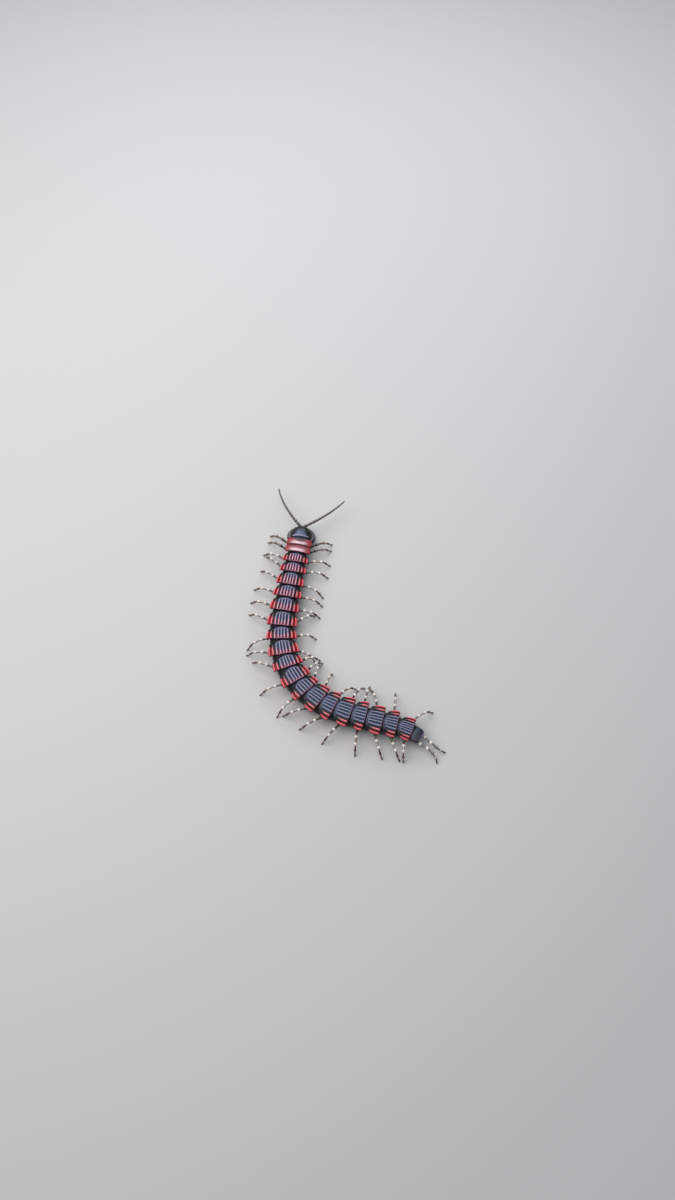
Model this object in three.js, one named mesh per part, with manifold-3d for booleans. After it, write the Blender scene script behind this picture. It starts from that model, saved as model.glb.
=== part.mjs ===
// A keeled giant centipede with twenty-one pairs of legs, as a still, life-size model.
// Millimetres, +Z up. The head points to +Y, and behind the middle the body bends to +X.
// The origin is on the floor, under the centre of the box round the whole animal.
import * as THREE from "three";
import { mergeVertices } from "three/addons/utils/BufferGeometryUtils.js";
import Module from "manifold-3d";

// The line of the body on the floor. A heading is the turn, in degrees, of the body's right side
// from +X, and a bend is spread over the segments that it names.
const NECK = [-15.487, 30.992]; // the joint of head and trunk
const HEADING = -10.6;
const BODY_BEND = { from: 6.4, to: 17.8, turn: 86 };
const TAIL_BEND = { from: 19.1, to: 22, turn: -28 };
const HEAD_TURN = 3.0; // the head's heading over the first segment's

// The trunk: back plates that alternate long and short behind the first seven.
const SEGMENTS = 21;
const FRONT_LENGTHS = [3.0, 2.9, 3.9, 4.1, 5.2, 4.8, 5.5];
const LONG = 5.81;
const SHORT = 5.01;
const LAST_LENGTH = 3.9;
const LAST_LONG = 5.35; // the last plate but one
const HALF_WIDTH = 5.3;
const FRONT_TAPER = { by: 0.85, over: 8 };
const REAR_TAPER = { by: 2.2, from: 15.5, power: 3 };

// Heights of the trunk where it is widest.
const EDGE_Z = 4.9; // side margin of a back plate
const ARCH = 1.3; // from that margin to the middle of the back
const ARCH_POWER = 2.3; // the back is flat in the middle and falls off at the sides
const COLLAR_DROP = 0.75; // the soft collar between plates lies this much lower
const BELLY_Z = 0.9;
const NARROW_EDGE = 0.2; // share of the margin's height that follows the width

// Nine lengthwise keels, as shares of the half width, and how far they stand up.
const KEELS = [-0.95, -0.69, -0.43, -0.2, 0, 0.2, 0.43, 0.69, 0.95];
const KEEL_HEIGHT = 0.42;
const GROOVE_FLOOR = [0.3, 0.7]; // where the floor between two keels begins and ends
const FIRST_KEELED = 3;

// A back plate, along the body and across it.
const PLATE_FRONT = 0.5; // from the joint to the middle of the front border
const BOW = { front: 1.5, widest: 0.5, corner: 0.1, rear: -0.1 }; // how far a ring's sides lie back
const KEEL_RAMP = 0.6;
const PLATE_REAR = 0.1; // from the rear border to the joint
const WIDEST = { share: 0.68, least: 1.7 }; // where along the plate it is widest
const CORNER = 0.5; // length of the rounded rear corner
const PLATE_SHARES = { front: 0.85, ramp: 0.91, widest: 1, corner: 0.99, rear: 0.92 };
const FRONT_DIP = 0.35; // the front border lies this much lower than the back
const COLLAR_SHARE = 0.76;
const COLLAR_EDGE_DROP = 0.1;
const WALL_SHARE = 0.72; // upright side wall under the plate
const STERNITE_SHARE = 0.56;
const RIM = 0.2; // thickness of the side margin
const WALL_TOP = 0.55; // below the margin
const WALL_FOOT = { z: 1.6, in: 0.03 }; // the wall leans in by this share of the half width
const WALL_IN = 0.9; // walls and belly plates stop this far short of the joints
const UNDER_RISE = 0.25; // the soft underside between belly plates lies this much higher
const FOOT_RISE = 0.1; // and so does the foot of its wall

// The last plate overhangs the roots of the last legs. Its underside steps up to a shelf that
// lies just under the margin, so that no three of its points share a line.
const LAST_BOW = 0.7;
const LAST_STEP = { before: 0.3, wall: 0.6, behind: 0.05 };
const LAST_END = { narrowed: -0.25, tip: 0.1 };
const SHELF_LAYER = 0.02;

// The head, in front of the neck joint.
const HEAD_HALF = 3.95;
const HEAD_EDGE_Z = 4.05;
const HEAD_TOP_Z = 6.55;
const HEAD_UNDER_Z = 2.95;
const HEAD_ARCH_POWER = 2.4;
const CHEEK = { half: 0.66, drop: 0.3, foot: 0.63, chin: 0.4, chinRise: 0.25 };

// The gap that touching pieces keep.
const GAP = 0.32;

// A walking leg: its joints from the root outwards, with the plan distance from the joint
// before, the height, the share of a fold's lift, the radius and the share of the swing.
const LEG_ROOT = { at: 0.66, firstAt: 0.8, pivot: 0.9, z: 2.4, radius: 0.52 };
const LEG_JOINTS = [
  { reach: 1.15, z: 2.9, lift: 0, radius: 0.6, swing: 0.8 },
  { reach: 2.35, z: 3.9, lift: 0.5, radius: 0.58, swing: 0.9 },
  { reach: 2.4, z: 3.6, lift: 1.0, radius: 0.54, swing: 1.0 },
  { reach: 1.55, z: 1.7, lift: 0.5, radius: 0.4, swing: 1.2 },
  { reach: 1.15, z: 0.12, lift: 0, radius: 0.28, swing: 1.4 },
];
const CLAW = { reach: 0.5, z: 0.04, lift: 0, radius: 0.12, swing: 1.4 };
const WAIST = { after: 0.45, share: 0.72 }; // an article is thinner just behind a joint
const LEG_SIDES = 6;
const INNER_FOLD = 0.014; // a leg inside a bend is drawn in by this share for each degree
const FOLD_LIFT = 3.2; // and its knees rise by this many millimetres for a whole share

// How far each leg swings forward of square to the body, in degrees, from the first pair back.
const SWING_LEFT = [22, 20, 9, 31, 23, 6, 7, 18, -23, 10, 38, 10, -3, 38, 36, 23, -10, -30, -34, -18];
const SWING_RIGHT = [26, 25, 10, 4, -16, -6, -3, 34, 0, -34, -9, 5, 27, 13, -30, -18, 0, 29, 9, -38];

// The last pair of legs trails behind the body.
const LAST_LEG_ROOT = { u: 1.45, s: 2.5, z: 2.2, radius: 0.75 };
const LAST_LEG_JOINTS = [
  { reach: 2.2, z: 2.35, radius: 0.68 },
  { reach: 2.7, z: 2.6, radius: 0.6 },
  { reach: 2.1, z: 1.9, radius: 0.5 },
  { reach: 1.7, z: 1.1, radius: 0.4 },
  { reach: 1.2, z: 0.5, radius: 0.28 },
];
const LAST_LEG_TURNS = { left: [4, 2, 9, 18, 44], right: [-14, -6, -4, 4, 22] };
const LAST_CLAW_DROP = 0.2;

// The antennae: bead-like articles that shorten and thin towards the tip.
const ANTENNA = { articles: 17, length: 17.4, base: 0.52, tip: 0.25, waist: 0.72, bulge: 0.55, end: 0.5 };
const ARTICLE_SHARES = { first: 1.25, last: 0.75 };
const ANTENNA_ROOT = { u: 1.3, y: 5.72, z: 4.15 };
const ANTENNA_AIM = {
  left: { from: 50, to: 16, rise: 16, droop: -14 },
  right: { from: 60, to: 32, rise: 12, droop: -8 },
};

const rad = THREE.MathUtils.degToRad;
const smooth = (x) => THREE.MathUtils.smoothstep(x, 0, 1);

// Colours of the living animal.
const COLOURS = {
  plate: { color: 0x2b2a33, roughness: 0.35 },
  head: { color: 0x16161c, roughness: 0.2 },
  leg: { color: 0xb9aea4, roughness: 0.5 },
  antenna: { color: 0x2a1c26, roughness: 0.4 },
  fang: { color: 0x1a1418, roughness: 0.25 },
  eye: { color: 0x08080a, roughness: 0.1 },
};
const finish = {};
for (const [name, values] of Object.entries(COLOURS))
  finish[name] = new THREE.MeshStandardMaterial({ ...values, metalness: 0, flatShading: true });

// The body line, segment by segment. Segment 0 stands for the head.

function headingOf(i) {
  const body = smooth((i - BODY_BEND.from) / (BODY_BEND.to - BODY_BEND.from));
  const tail = smooth((i - TAIL_BEND.from) / (TAIL_BEND.to - TAIL_BEND.from));
  const turned = i === 0 ? HEAD_TURN : 0;
  return HEADING + turned + BODY_BEND.turn * body + TAIL_BEND.turn * tail;
}

function lengthOf(i) {
  if (i <= FRONT_LENGTHS.length) return FRONT_LENGTHS[i - 1];
  if (i === SEGMENTS) return LAST_LENGTH;
  if (i === SEGMENTS - 1) return LAST_LONG;
  return i % 2 ? SHORT : LONG;
}

function halfWidthOf(i) {
  const front = FRONT_TAPER.by * (1 - smooth((i - 1) / FRONT_TAPER.over));
  const rear = Math.max(0, (i - REAR_TAPER.from) / (SEGMENTS - REAR_TAPER.from));
  return HALF_WIDTH - front - REAR_TAPER.by * rear ** REAR_TAPER.power;
}

// A frame on the floor: u to the animal's right, s to its rear, z up.
function frameAt(x, y, heading) {
  const c = Math.cos(rad(heading));
  const d = Math.sin(rad(heading));
  const place = (u, s, z) => new THREE.Vector3(x + u * c + s * d, y + u * d - s * c, z);
  return { x, y, heading, place };
}

const segments = [frameAt(...NECK, headingOf(0))];
const joints = [frameAt(...NECK, (headingOf(0) + headingOf(1)) / 2)];
for (let i = 1; i <= SEGMENTS; i++) {
  const start = joints[i - 1];
  segments[i] = frameAt(start.x, start.y, headingOf(i));
  const end = segments[i].place(0, lengthOf(i), 0);
  const next = i < SEGMENTS ? headingOf(i + 1) : headingOf(i);
  joints[i] = frameAt(end.x, end.y, (headingOf(i) + next) / 2);
}

// Closed surfaces.

// Triangles over a flat ring, wound the way the ring runs.
function capTriangles(ring) {
  const normal = new THREE.Vector3();
  ring.forEach((p, k) => {
    const q = ring[(k + 1) % ring.length];
    normal.add(new THREE.Vector3().crossVectors(p, q));
  });
  normal.normalize();
  const across = ring[1].clone().sub(ring[0]);
  across.addScaledVector(normal, -across.dot(normal)).normalize();
  const up = new THREE.Vector3().crossVectors(normal, across);
  const flat = ring.map((p) => new THREE.Vector2(p.dot(across), p.dot(up)));
  return THREE.ShapeUtils.triangulateShape(flat, []).map(([a, b, c]) => {
    const ab = flat[b].clone().sub(flat[a]);
    const ac = flat[c].clone().sub(flat[a]);
    return ab.cross(ac) > 0 ? [a, b, c] : [a, c, b];
  });
}

// A closed surface through rings of as many points each, capped at both ends.
function loft(rings) {
  const n = rings[0].length;
  const last = (rings.length - 1) * n;
  const points = rings.flat();
  const faces = [];
  for (let r = 0; r < last; r += n)
    for (let c = 0; c < n; c++) {
      const a = r + c;
      const b = r + ((c + 1) % n);
      faces.push([a, b, b + n], [a, b + n, a + n]);
    }
  for (const [a, b, c] of capTriangles(rings[0])) faces.push([a, c, b]);
  for (const [a, b, c] of capTriangles(rings.at(-1))) faces.push([a + last, b + last, c + last]);
  let volume = 0;
  for (const [a, b, c] of faces) {
    const normal = new THREE.Vector3().crossVectors(points[b], points[c]);
    volume += points[a].dot(normal);
  }
  const outward = volume > 0 ? faces : faces.map(([a, b, c]) => [a, c, b]);
  const geometry = new THREE.BufferGeometry();
  const values = points.flatMap((p) => [p.x, p.y, p.z]);
  geometry.setAttribute("position", new THREE.Float32BufferAttribute(values, 3));
  geometry.setIndex(outward.flat());
  geometry.computeVertexNormals();
  return geometry;
}

// A round bar along stations of { at, radius }. The first ring lies in the plane across
// rootNormal, and nothing reaches below the floor at floorZ.
function tube(stations, sides, rootNormal, floorZ = -Infinity) {
  const zAxis = new THREE.Vector3(0, 0, 1);
  const rings = stations.map(({ at, radius }, k) => {
    const before = stations[Math.max(0, k - 1)].at;
    const after = stations[Math.min(stations.length - 1, k + 1)].at;
    const along = k === 0 ? rootNormal.clone() : after.clone().sub(before);
    along.normalize();
    const side = new THREE.Vector3().crossVectors(along, zAxis).normalize();
    const up = new THREE.Vector3().crossVectors(side, along);
    return Array.from({ length: sides }, (_, j) => {
      const angle = (j / sides) * 2 * Math.PI;
      const p = at.clone().addScaledVector(side, radius * Math.cos(angle));
      p.addScaledVector(up, radius * Math.sin(angle));
      p.z = Math.max(p.z, floorZ);
      return p;
    });
  });
  return loft(rings);
}

// Adds a waist a little way into each article after a joint.
function withWaists(stations) {
  const made = [stations[0]];
  for (let k = 1; k < stations.length; k++) {
    const here = stations[k - 1];
    const next = stations[k];
    const span = here.at.distanceTo(next.at);
    if (k > 1 && k < stations.length - 1) {
      const at = here.at.clone().lerp(next.at, WAIST.after / span);
      made.push({ at, radius: WAIST.share * Math.min(here.radius, next.radius / WAIST.share) });
    }
    made.push(next);
  }
  return made;
}

// Solids that are joined or cut.

const wasm = await Module();
wasm.setup();

function solidOf(geometry) {
  const bare = geometry.clone();
  bare.deleteAttribute("normal");
  bare.deleteAttribute("uv");
  const merged = mergeVertices(bare, 1e-4);
  const vertProperties = new Float32Array(merged.attributes.position.array);
  const triVerts = new Uint32Array(merged.index.array);
  return new wasm.Manifold(new wasm.Mesh({ numProp: 3, vertProperties, triVerts }));
}

function geometryOf(solid) {
  const mesh = solid.getMesh();
  const geometry = new THREE.BufferGeometry();
  geometry.setAttribute("position", new THREE.BufferAttribute(mesh.vertProperties, 3));
  geometry.setIndex(new THREE.BufferAttribute(mesh.triVerts, 1));
  geometry.computeVertexNormals();
  return geometry;
}

// The trunk.

// Points across the back of a ring: the crest of each keel, and two on the groove's floor
// between neighbours.
const BACK = KEELS.flatMap((at, k) => {
  const gap = KEELS[k + 1] - at;
  const crest = { at, crest: 1 };
  if (k === KEELS.length - 1) return [crest];
  return [crest, ...GROOVE_FLOOR.map((share) => ({ at: at + share * gap, crest: 0 }))];
});

// One ring of the trunk, from the left margin over the back and round underneath.
function trunkRing(place, ring) {
  const { half, edge, top, keel = 0, s, bow = 0, low = s, under, wallHalf = half } = ring;
  const { wallTop = edge - WALL_TOP, wallFoot, belly } = under;
  const back = BACK.map(({ at, crest }) => {
    const z = edge + (top - edge) * (1 - Math.abs(at) ** ARCH_POWER) + keel * crest;
    return place(half * at, s + bow * at * at, z);
  });
  const side = [
    [half, s + bow, edge - RIM],
    [wallHalf * WALL_SHARE, low, wallTop],
    [wallHalf * (WALL_SHARE - WALL_FOOT.in), low, wallFoot],
    [wallHalf * STERNITE_SHARE, low, belly],
  ];
  const right = side.map(([u, at, z]) => place(u, at, z));
  const left = side.map(([u, at, z]) => place(-u, at, z)).reverse();
  return [...back, ...right, ...left];
}

// Sizes that a segment's rings share.
function sizesOf(i) {
  const half = halfWidthOf(i);
  const share = half / HALF_WIDTH;
  const edge = EDGE_Z * (1 - NARROW_EDGE + NARROW_EDGE * share);
  return { half, share, edge, top: edge + ARCH * share, length: lengthOf(i) };
}

// Heights of the underside: of a belly plate, and in front of the first one, where the base of
// the poison claws lies under the trunk.
const UNDER = { belly: BELLY_Z, wallFoot: WALL_FOOT.z };
const RAISED = { belly: HEAD_UNDER_Z, wallFoot: HEAD_UNDER_Z + UNDER_RISE };
const RAISED_RINGS = 3; // of the first segment
const SOFT = { belly: BELLY_Z + UNDER_RISE, wallFoot: WALL_FOOT.z + FOOT_RISE };

// The soft collar at a joint, moved by shift along the body from it.
function collarRing(i, shift) {
  const a = sizesOf(Math.max(1, i));
  const b = sizesOf(Math.min(SEGMENTS, i + 1));
  const wallHalf = (a.half + b.half) / 2;
  return trunkRing(joints[i].place, {
    s: shift,
    half: wallHalf * COLLAR_SHARE,
    wallHalf,
    edge: (a.edge + b.edge) / 2 - COLLAR_EDGE_DROP,
    top: (a.top + b.top) / 2 - COLLAR_DROP,
    under: i === 0 ? RAISED : SOFT,
  });
}

// The rings of one segment between its two collars. Below the margin, the wall's rings are
// spread evenly between the wall's ends.
function segmentRings(i) {
  const { half, edge, top, length } = sizesOf(i);
  const keel = i >= FIRST_KEELED && i < SEGMENTS ? KEEL_HEIGHT : 0;
  const rear = length - PLATE_REAR;
  const bow = BOW.front * Math.min(1, length / SHORT);
  const widest = BOW.widest * Math.min(1, length / SHORT);
  const shares = PLATE_SHARES;
  const rings = [
    { s: PLATE_FRONT, bow, half: half * shares.front, top: top - FRONT_DIP },
    { s: PLATE_FRONT + KEEL_RAMP, bow, half: half * shares.ramp, top: top - FRONT_DIP / 2, keel },
    { s: Math.max(WIDEST.share * length, WIDEST.least), bow: widest, half: half * shares.widest, top, keel },
    { s: rear - CORNER, bow: BOW.corner, half: half * shares.corner, top, keel },
    { s: rear, bow: BOW.rear, half: half * shares.rear, top, keel },
  ];
  const step = (length - 2 * WALL_IN) / (rings.length - 1);
  return rings.map((ring, k) => {
    const under = i === 1 && k < RAISED_RINGS ? RAISED : UNDER;
    const low = WALL_IN + step * k;
    return trunkRing(segments[i].place, { ...ring, edge, wallHalf: half, low, under });
  });
}

// The rings of the last segment, with each one's share of the half width, and how far its top
// drops and its margin rises.
function lastRings() {
  const { half, edge, top, length } = sizesOf(SEGMENTS);
  const shelf = edge - RIM;
  const [wallTop, wallFoot, belly] = [1, 2, 3].map((layer) => shelf + layer * SHELF_LAYER);
  const lifted = { wallTop, wallFoot, belly };
  const step = LAST_LEG_ROOT.s;
  const end = length + LAST_END.narrowed;
  const tip = length + LAST_END.tip;
  const rings = [
    { s: PLATE_FRONT, bow: LAST_BOW, share: 0.9, drop: 0.3, low: WALL_IN, under: UNDER },
    { s: step - LAST_STEP.before, share: 1, low: step - LAST_STEP.wall, under: UNDER },
    { s: step, share: 0.97, under: UNDER },
    { s: step + LAST_STEP.behind, share: 0.965, under: lifted },
    { s: end, share: 0.66, drop: 0.3, rise: 0.05, under: lifted, narrow: 0.66 },
    { s: tip, share: 0.4, drop: 0.6, rise: 0.12, under: lifted, narrow: 0.4 },
  ];
  return rings.map(({ share, drop = 0, rise = 0, narrow = 1, ...ring }) => {
    const sizes = { half: half * share, wallHalf: half * narrow, top: top - drop, edge: edge + rise };
    return trunkRing(segments[SEGMENTS].place, { ...ring, ...sizes });
  });
}

function trunkLength(first, last) {
  const rings = [collarRing(first - 1, GAP / 2)];
  for (let i = first; i <= last; i++) {
    if (i === SEGMENTS) {
      rings.push(...lastRings());
      continue;
    }
    rings.push(...segmentRings(i));
    rings.push(collarRing(i, i === last ? -GAP / 2 : 0));
  }
  return loft(rings);
}

const animal = new THREE.Group();

function addPiece(parent, name, geometry, material) {
  const mesh = new THREE.Mesh(geometry, material);
  mesh.name = name;
  parent.add(mesh);
}

const two = (n) => String(n).padStart(2, "0");
for (let first = 1; first < SEGMENTS - 1; first += 2) {
  const last = first === SEGMENTS - 2 ? SEGMENTS : first + 1;
  addPiece(animal, `trunk_${two(first)}_${two(last)}`, trunkLength(first, last), finish.plate);
}

// A group at each segment, with +X to the animal's right and +Y forward.
function groupAt({ x, y, heading }) {
  const group = new THREE.Group();
  group.position.set(x, y, 0);
  group.rotation.z = rad(heading);
  animal.add(group);
  return group;
}

// The legs, on the side walls.

function walkingLeg(i, mirror, swing) {
  const { half, length } = sizesOf(i);
  const wall = half * WALL_SHARE + GAP;
  const lean = LEG_ROOT.pivot * Math.tan(rad(swing * LEG_JOINTS[0].swing));
  const inner = mirror * (headingOf(i + 0.5) - headingOf(i - 0.5));
  const fold = INNER_FOLD * Math.max(0, inner);
  const root = i === 1 ? LEG_ROOT.firstAt : LEG_ROOT.at;
  let at = new THREE.Vector3(mirror * wall, lean - root * length, LEG_ROOT.z);
  const stations = [{ at, radius: LEG_ROOT.radius }];
  for (const joint of [...LEG_JOINTS, CLAW]) {
    const turn = rad(swing * joint.swing);
    const reach = joint.reach * (1 - fold);
    const x = at.x + mirror * reach * Math.cos(turn);
    at = new THREE.Vector3(x, at.y + reach * Math.sin(turn), joint.z + joint.lift * fold * FOLD_LIFT);
    stations.push({ at, radius: joint.radius });
  }
  return tube(withWaists(stations), LEG_SIDES, new THREE.Vector3(mirror, 0, 0), 0);
}

// A last leg is laid out backwards. Its turns are degrees outwards from the body's line.
function lastLeg(mirror, turns) {
  const root = LAST_LEG_ROOT;
  let at = new THREE.Vector3(mirror * root.u, -(root.s + GAP), root.z);
  const stations = [{ at, radius: root.radius }];
  LAST_LEG_JOINTS.forEach((joint, k) => {
    const turn = rad(turns[k]);
    const x = at.x + mirror * joint.reach * Math.sin(turn);
    at = new THREE.Vector3(x, at.y - joint.reach * Math.cos(turn), joint.z);
    stations.push({ at, radius: joint.radius });
  });
  const before = stations.at(-2).at;
  const tip = at.clone().add(at.clone().sub(before).setLength(CLAW.reach));
  tip.z = at.z - LAST_CLAW_DROP;
  stations.push({ at: tip, radius: CLAW.radius });
  return tube(withWaists(stations), LEG_SIDES, new THREE.Vector3(0, -1, 0), 0);
}

for (let i = 1; i < SEGMENTS; i++) {
  const group = groupAt(segments[i]);
  addPiece(group, `leg_left_${two(i)}`, walkingLeg(i, -1, SWING_LEFT[i - 1]), finish.leg);
  addPiece(group, `leg_right_${two(i)}`, walkingLeg(i, 1, SWING_RIGHT[i - 1]), finish.leg);
}
const lastGroup = groupAt(segments[SEGMENTS]);
addPiece(lastGroup, `leg_left_${SEGMENTS}`, lastLeg(-1, LAST_LEG_TURNS.left), finish.leg);
addPiece(lastGroup, `leg_right_${SEGMENTS}`, lastLeg(1, LAST_LEG_TURNS.right), finish.leg);

// The head, in its own group. y is forward of the neck joint.

const headGroup = groupAt(segments[0]);

// Points over the top of a head ring, as shares of its half width.
const HEAD_BACK = Array.from({ length: 13 }, (_, k) => k / 6 - 1);

// The head's outline and profile, from the neck forward: the half width as a share of the
// widest, and how far edge, top and underside lie off the head's own heights.
const HEAD_RINGS = [
  { y: GAP / 2, share: 0.76, edge: -0.1, top: -1.1, under: 0 },
  { y: 0.4, share: 0.92, edge: 0, top: -0.4, under: 0 },
  { y: 1.4, share: 1, edge: 0, top: -0.03, under: 0 },
  { y: 2.6, share: 0.97, edge: 0, top: 0, under: 0 },
  { y: 3.7, share: 0.85, edge: -0.05, top: -0.3, under: 0 },
  { y: 4.6, share: 0.64, edge: -0.15, top: -0.85, under: 0 },
  { y: 5.1, share: 0.46, edge: -0.3, top: -1.4, under: 0.05 },
  { y: 5.35, share: 0.24, edge: -0.4, top: -2.0, under: 0.15 },
];

function headRing({ y, share, edge, top, under }) {
  const half = HEAD_HALF * share;
  const edgeZ = HEAD_EDGE_Z + edge;
  const underZ = HEAD_UNDER_Z + under;
  const rise = HEAD_TOP_Z + top - edgeZ;
  const over = HEAD_BACK.map((at) => {
    const z = edgeZ + rise * (1 - Math.abs(at) ** HEAD_ARCH_POWER);
    return new THREE.Vector3(half * at, y, z);
  });
  const side = [
    [half * CHEEK.half, edgeZ - CHEEK.drop],
    [half * CHEEK.foot, underZ + CHEEK.chinRise],
    [half * CHEEK.chin, underZ],
  ];
  const right = side.map(([u, z]) => new THREE.Vector3(u, y, z));
  const left = side.map(([u, z]) => new THREE.Vector3(-u, y, z)).reverse();
  return [...over, ...right, ...left];
}

// Four simple eyes stand together on each side of the head, in a shallow hollow.
const EYE = { u: 2.62, y: 4.2, z: 4.45, turn: 38, long: 0.8, high: 0.5, deep: 0.4, round: 0.06 };
const OCELLUS = { radius: 0.24, out: 0.3, along: 0.36, up: 0.2 };

function eyeBase(grow) {
  const ball = new THREE.SphereGeometry(1, 8, 4);
  return ball.scale(EYE.deep + grow, EYE.long + grow, EYE.high + grow);
}

function placeOnCheek(geometry, mirror) {
  const turned = geometry.rotateZ(rad(mirror * EYE.turn));
  return turned.translate(mirror * EYE.u, EYE.y, EYE.z);
}

function eyeCluster(mirror) {
  let solid = solidOf(placeOnCheek(eyeBase(0), mirror));
  for (const [along, up] of [[-1, -1], [-1, 1], [1, -1], [1, 1]]) {
    const dome = new THREE.IcosahedronGeometry(OCELLUS.radius, 0);
    dome.translate(mirror * OCELLUS.out, along * OCELLUS.along, up * OCELLUS.up);
    solid = solid.add(solidOf(placeOnCheek(dome, mirror)));
  }
  return geometryOf(solid);
}

let headSolid = solidOf(loft(HEAD_RINGS.map(headRing)));
for (const mirror of [-1, 1])
  headSolid = headSolid.subtract(solidOf(placeOnCheek(eyeBase(GAP + EYE.round), mirror)));
addPiece(headGroup, "head", geometryOf(headSolid), finish.head);
addPiece(headGroup, "eye_left", eyeCluster(-1), finish.eye);
addPiece(headGroup, "eye_right", eyeCluster(1), finish.eye);

function antenna(mirror, aim) {
  const { articles, length, base, tip, waist, bulge, end: endShare } = ANTENNA;
  const { first, last } = ARTICLE_SHARES;
  const ends = Array.from({ length: articles }, (_, k) => k / (articles - 1));
  const shares = ends.map((t) => first + (last - first) * t);
  const total = shares.reduce((sum, share) => sum + share, 0);
  let at = new THREE.Vector3(mirror * ANTENNA_ROOT.u, ANTENNA_ROOT.y, ANTENNA_ROOT.z);
  const along = (t) => {
    const yaw = rad(aim.from + (aim.to - aim.from) * t);
    const pitch = rad(aim.rise + (aim.droop - aim.rise) * t);
    const flat = Math.cos(pitch);
    return new THREE.Vector3(mirror * Math.sin(yaw) * flat, Math.cos(yaw) * flat, Math.sin(pitch));
  };
  const stations = [{ at, radius: base * waist }];
  ends.forEach((t, k) => {
    const step = (length * shares[k]) / total;
    const radius = base + (tip - base) * t;
    const end = at.clone().addScaledVector(along(t), step);
    stations.push({ at: at.clone().lerp(end, bulge), radius });
    stations.push({ at: end, radius: radius * (t === 1 ? endShare : waist) });
    at = end;
  });
  return tube(stations, LEG_SIDES, along(0));
}
addPiece(headGroup, "antenna_left", antenna(-1, ANTENNA_AIM.left), finish.antenna);
addPiece(headGroup, "antenna_right", antenna(1, ANTENNA_AIM.right), finish.antenna);

// The poison claws curve from a broad plate under the neck, past the sides of the head.
const FANG = [
  { u: 3.4, y: 0.05, z: 2.1, radius: 0.85 },
  { u: 3.85, y: 0.75, z: 2.4, radius: 1.1 },
  { u: 4.0, y: 2.0, z: 2.5, radius: 1.1 },
  { u: 3.75, y: 3.2, z: 2.35, radius: 0.9 },
  { u: 3.1, y: 4.3, z: 2.15, radius: 0.7 },
  { u: 2.2, y: 5.15, z: 2.0, radius: 0.52 },
  { u: 1.25, y: 5.7, z: 1.9, radius: 0.34 },
  { u: 0.5, y: 5.85, z: 1.85, radius: 0.14 },
];
const FANG_SIDES = 8;
for (const [name, mirror] of [["left", -1], ["right", 1]]) {
  const stations = FANG.map(({ u, y, z, radius }) => ({ at: new THREE.Vector3(mirror * u, y, z), radius }));
  const geometry = tube(stations, FANG_SIDES, new THREE.Vector3(mirror, 0, 0));
  addPiece(headGroup, `forcipule_${name}`, geometry, finish.fang);
}

// Its corners on the right, from the rear to the notch in the middle of the front: how far each
// lies inside the half width, and how far forward. An arc has the corner that it rounds as well.
const FANG_BASE = { front: 3.3, rear: -1.1, bottom: 1.1, top: 2.6, half: 2.55 };
const BASE_HEEL = { start: 0.65, round: { in: 0, y: -1.0 }, end: { in: 0, y: -0.3 } };
const BASE_SHOULDER = { in: 0.05, y: 1.2, round: { in: 0.35, y: 2.6 }, end: 1.2 };
const BASE_NOTCH = { half: 0.3, deep: 0.5 };

function fangBase() {
  const { front, rear, half } = FANG_BASE;
  const heel = BASE_HEEL;
  const shoulder = BASE_SHOULDER;
  const outline = new THREE.Shape();
  outline.moveTo(half - heel.start, rear);
  outline.quadraticCurveTo(half - heel.round.in, heel.round.y, half - heel.end.in, heel.end.y);
  outline.lineTo(half - shoulder.in, shoulder.y);
  outline.quadraticCurveTo(half - shoulder.round.in, shoulder.round.y, half - shoulder.end, front);
  outline.lineTo(BASE_NOTCH.half, front);
  outline.lineTo(0, front - BASE_NOTCH.deep);
  outline.lineTo(-BASE_NOTCH.half, front);
  outline.lineTo(shoulder.end - half, front);
  outline.quadraticCurveTo(shoulder.round.in - half, shoulder.round.y, shoulder.in - half, shoulder.y);
  outline.lineTo(heel.end.in - half, heel.end.y);
  outline.quadraticCurveTo(heel.round.in - half, heel.round.y, heel.start - half, rear);
  const depth = FANG_BASE.top - FANG_BASE.bottom;
  const plate = new THREE.ExtrudeGeometry(outline, { depth, bevelEnabled: false, curveSegments: 4 });
  return plate.translate(0, 0, FANG_BASE.bottom);
}
addPiece(headGroup, "forcipule_base", fangBase(), finish.fang);

export default animal;
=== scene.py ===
# The looks of a keeled giant centipede, a still, life-size model, built round its solids.
import math

import bmesh
import bpy
from mathutils import Matrix, Vector


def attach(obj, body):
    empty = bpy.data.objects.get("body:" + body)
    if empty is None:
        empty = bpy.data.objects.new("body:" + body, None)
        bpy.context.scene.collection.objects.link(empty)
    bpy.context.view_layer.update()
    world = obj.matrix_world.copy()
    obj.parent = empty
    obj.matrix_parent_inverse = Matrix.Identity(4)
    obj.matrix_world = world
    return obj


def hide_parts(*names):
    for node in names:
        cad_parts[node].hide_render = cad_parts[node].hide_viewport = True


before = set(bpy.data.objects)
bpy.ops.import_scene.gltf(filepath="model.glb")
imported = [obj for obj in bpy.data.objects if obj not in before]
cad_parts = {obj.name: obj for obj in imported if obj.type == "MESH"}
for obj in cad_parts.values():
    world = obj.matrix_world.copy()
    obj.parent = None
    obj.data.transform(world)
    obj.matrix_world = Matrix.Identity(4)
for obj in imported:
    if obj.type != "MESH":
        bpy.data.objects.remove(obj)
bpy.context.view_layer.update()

# Sizes are millimetres. A mesh is turned to metres when its object is made.
MM = 0.001

# The line of the body on the floor. A heading is the turn, in degrees, of the body's right side
# from +X, and a bend is spread over the segments that it names.
NECK = (-15.487, 30.992)
HEADING = -10.6
BODY_BEND = {"first": 6.4, "last": 17.8, "turn": 86}
TAIL_BEND = {"first": 19.1, "last": 22, "turn": -28}
HEAD_TURN = 3.0

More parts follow.
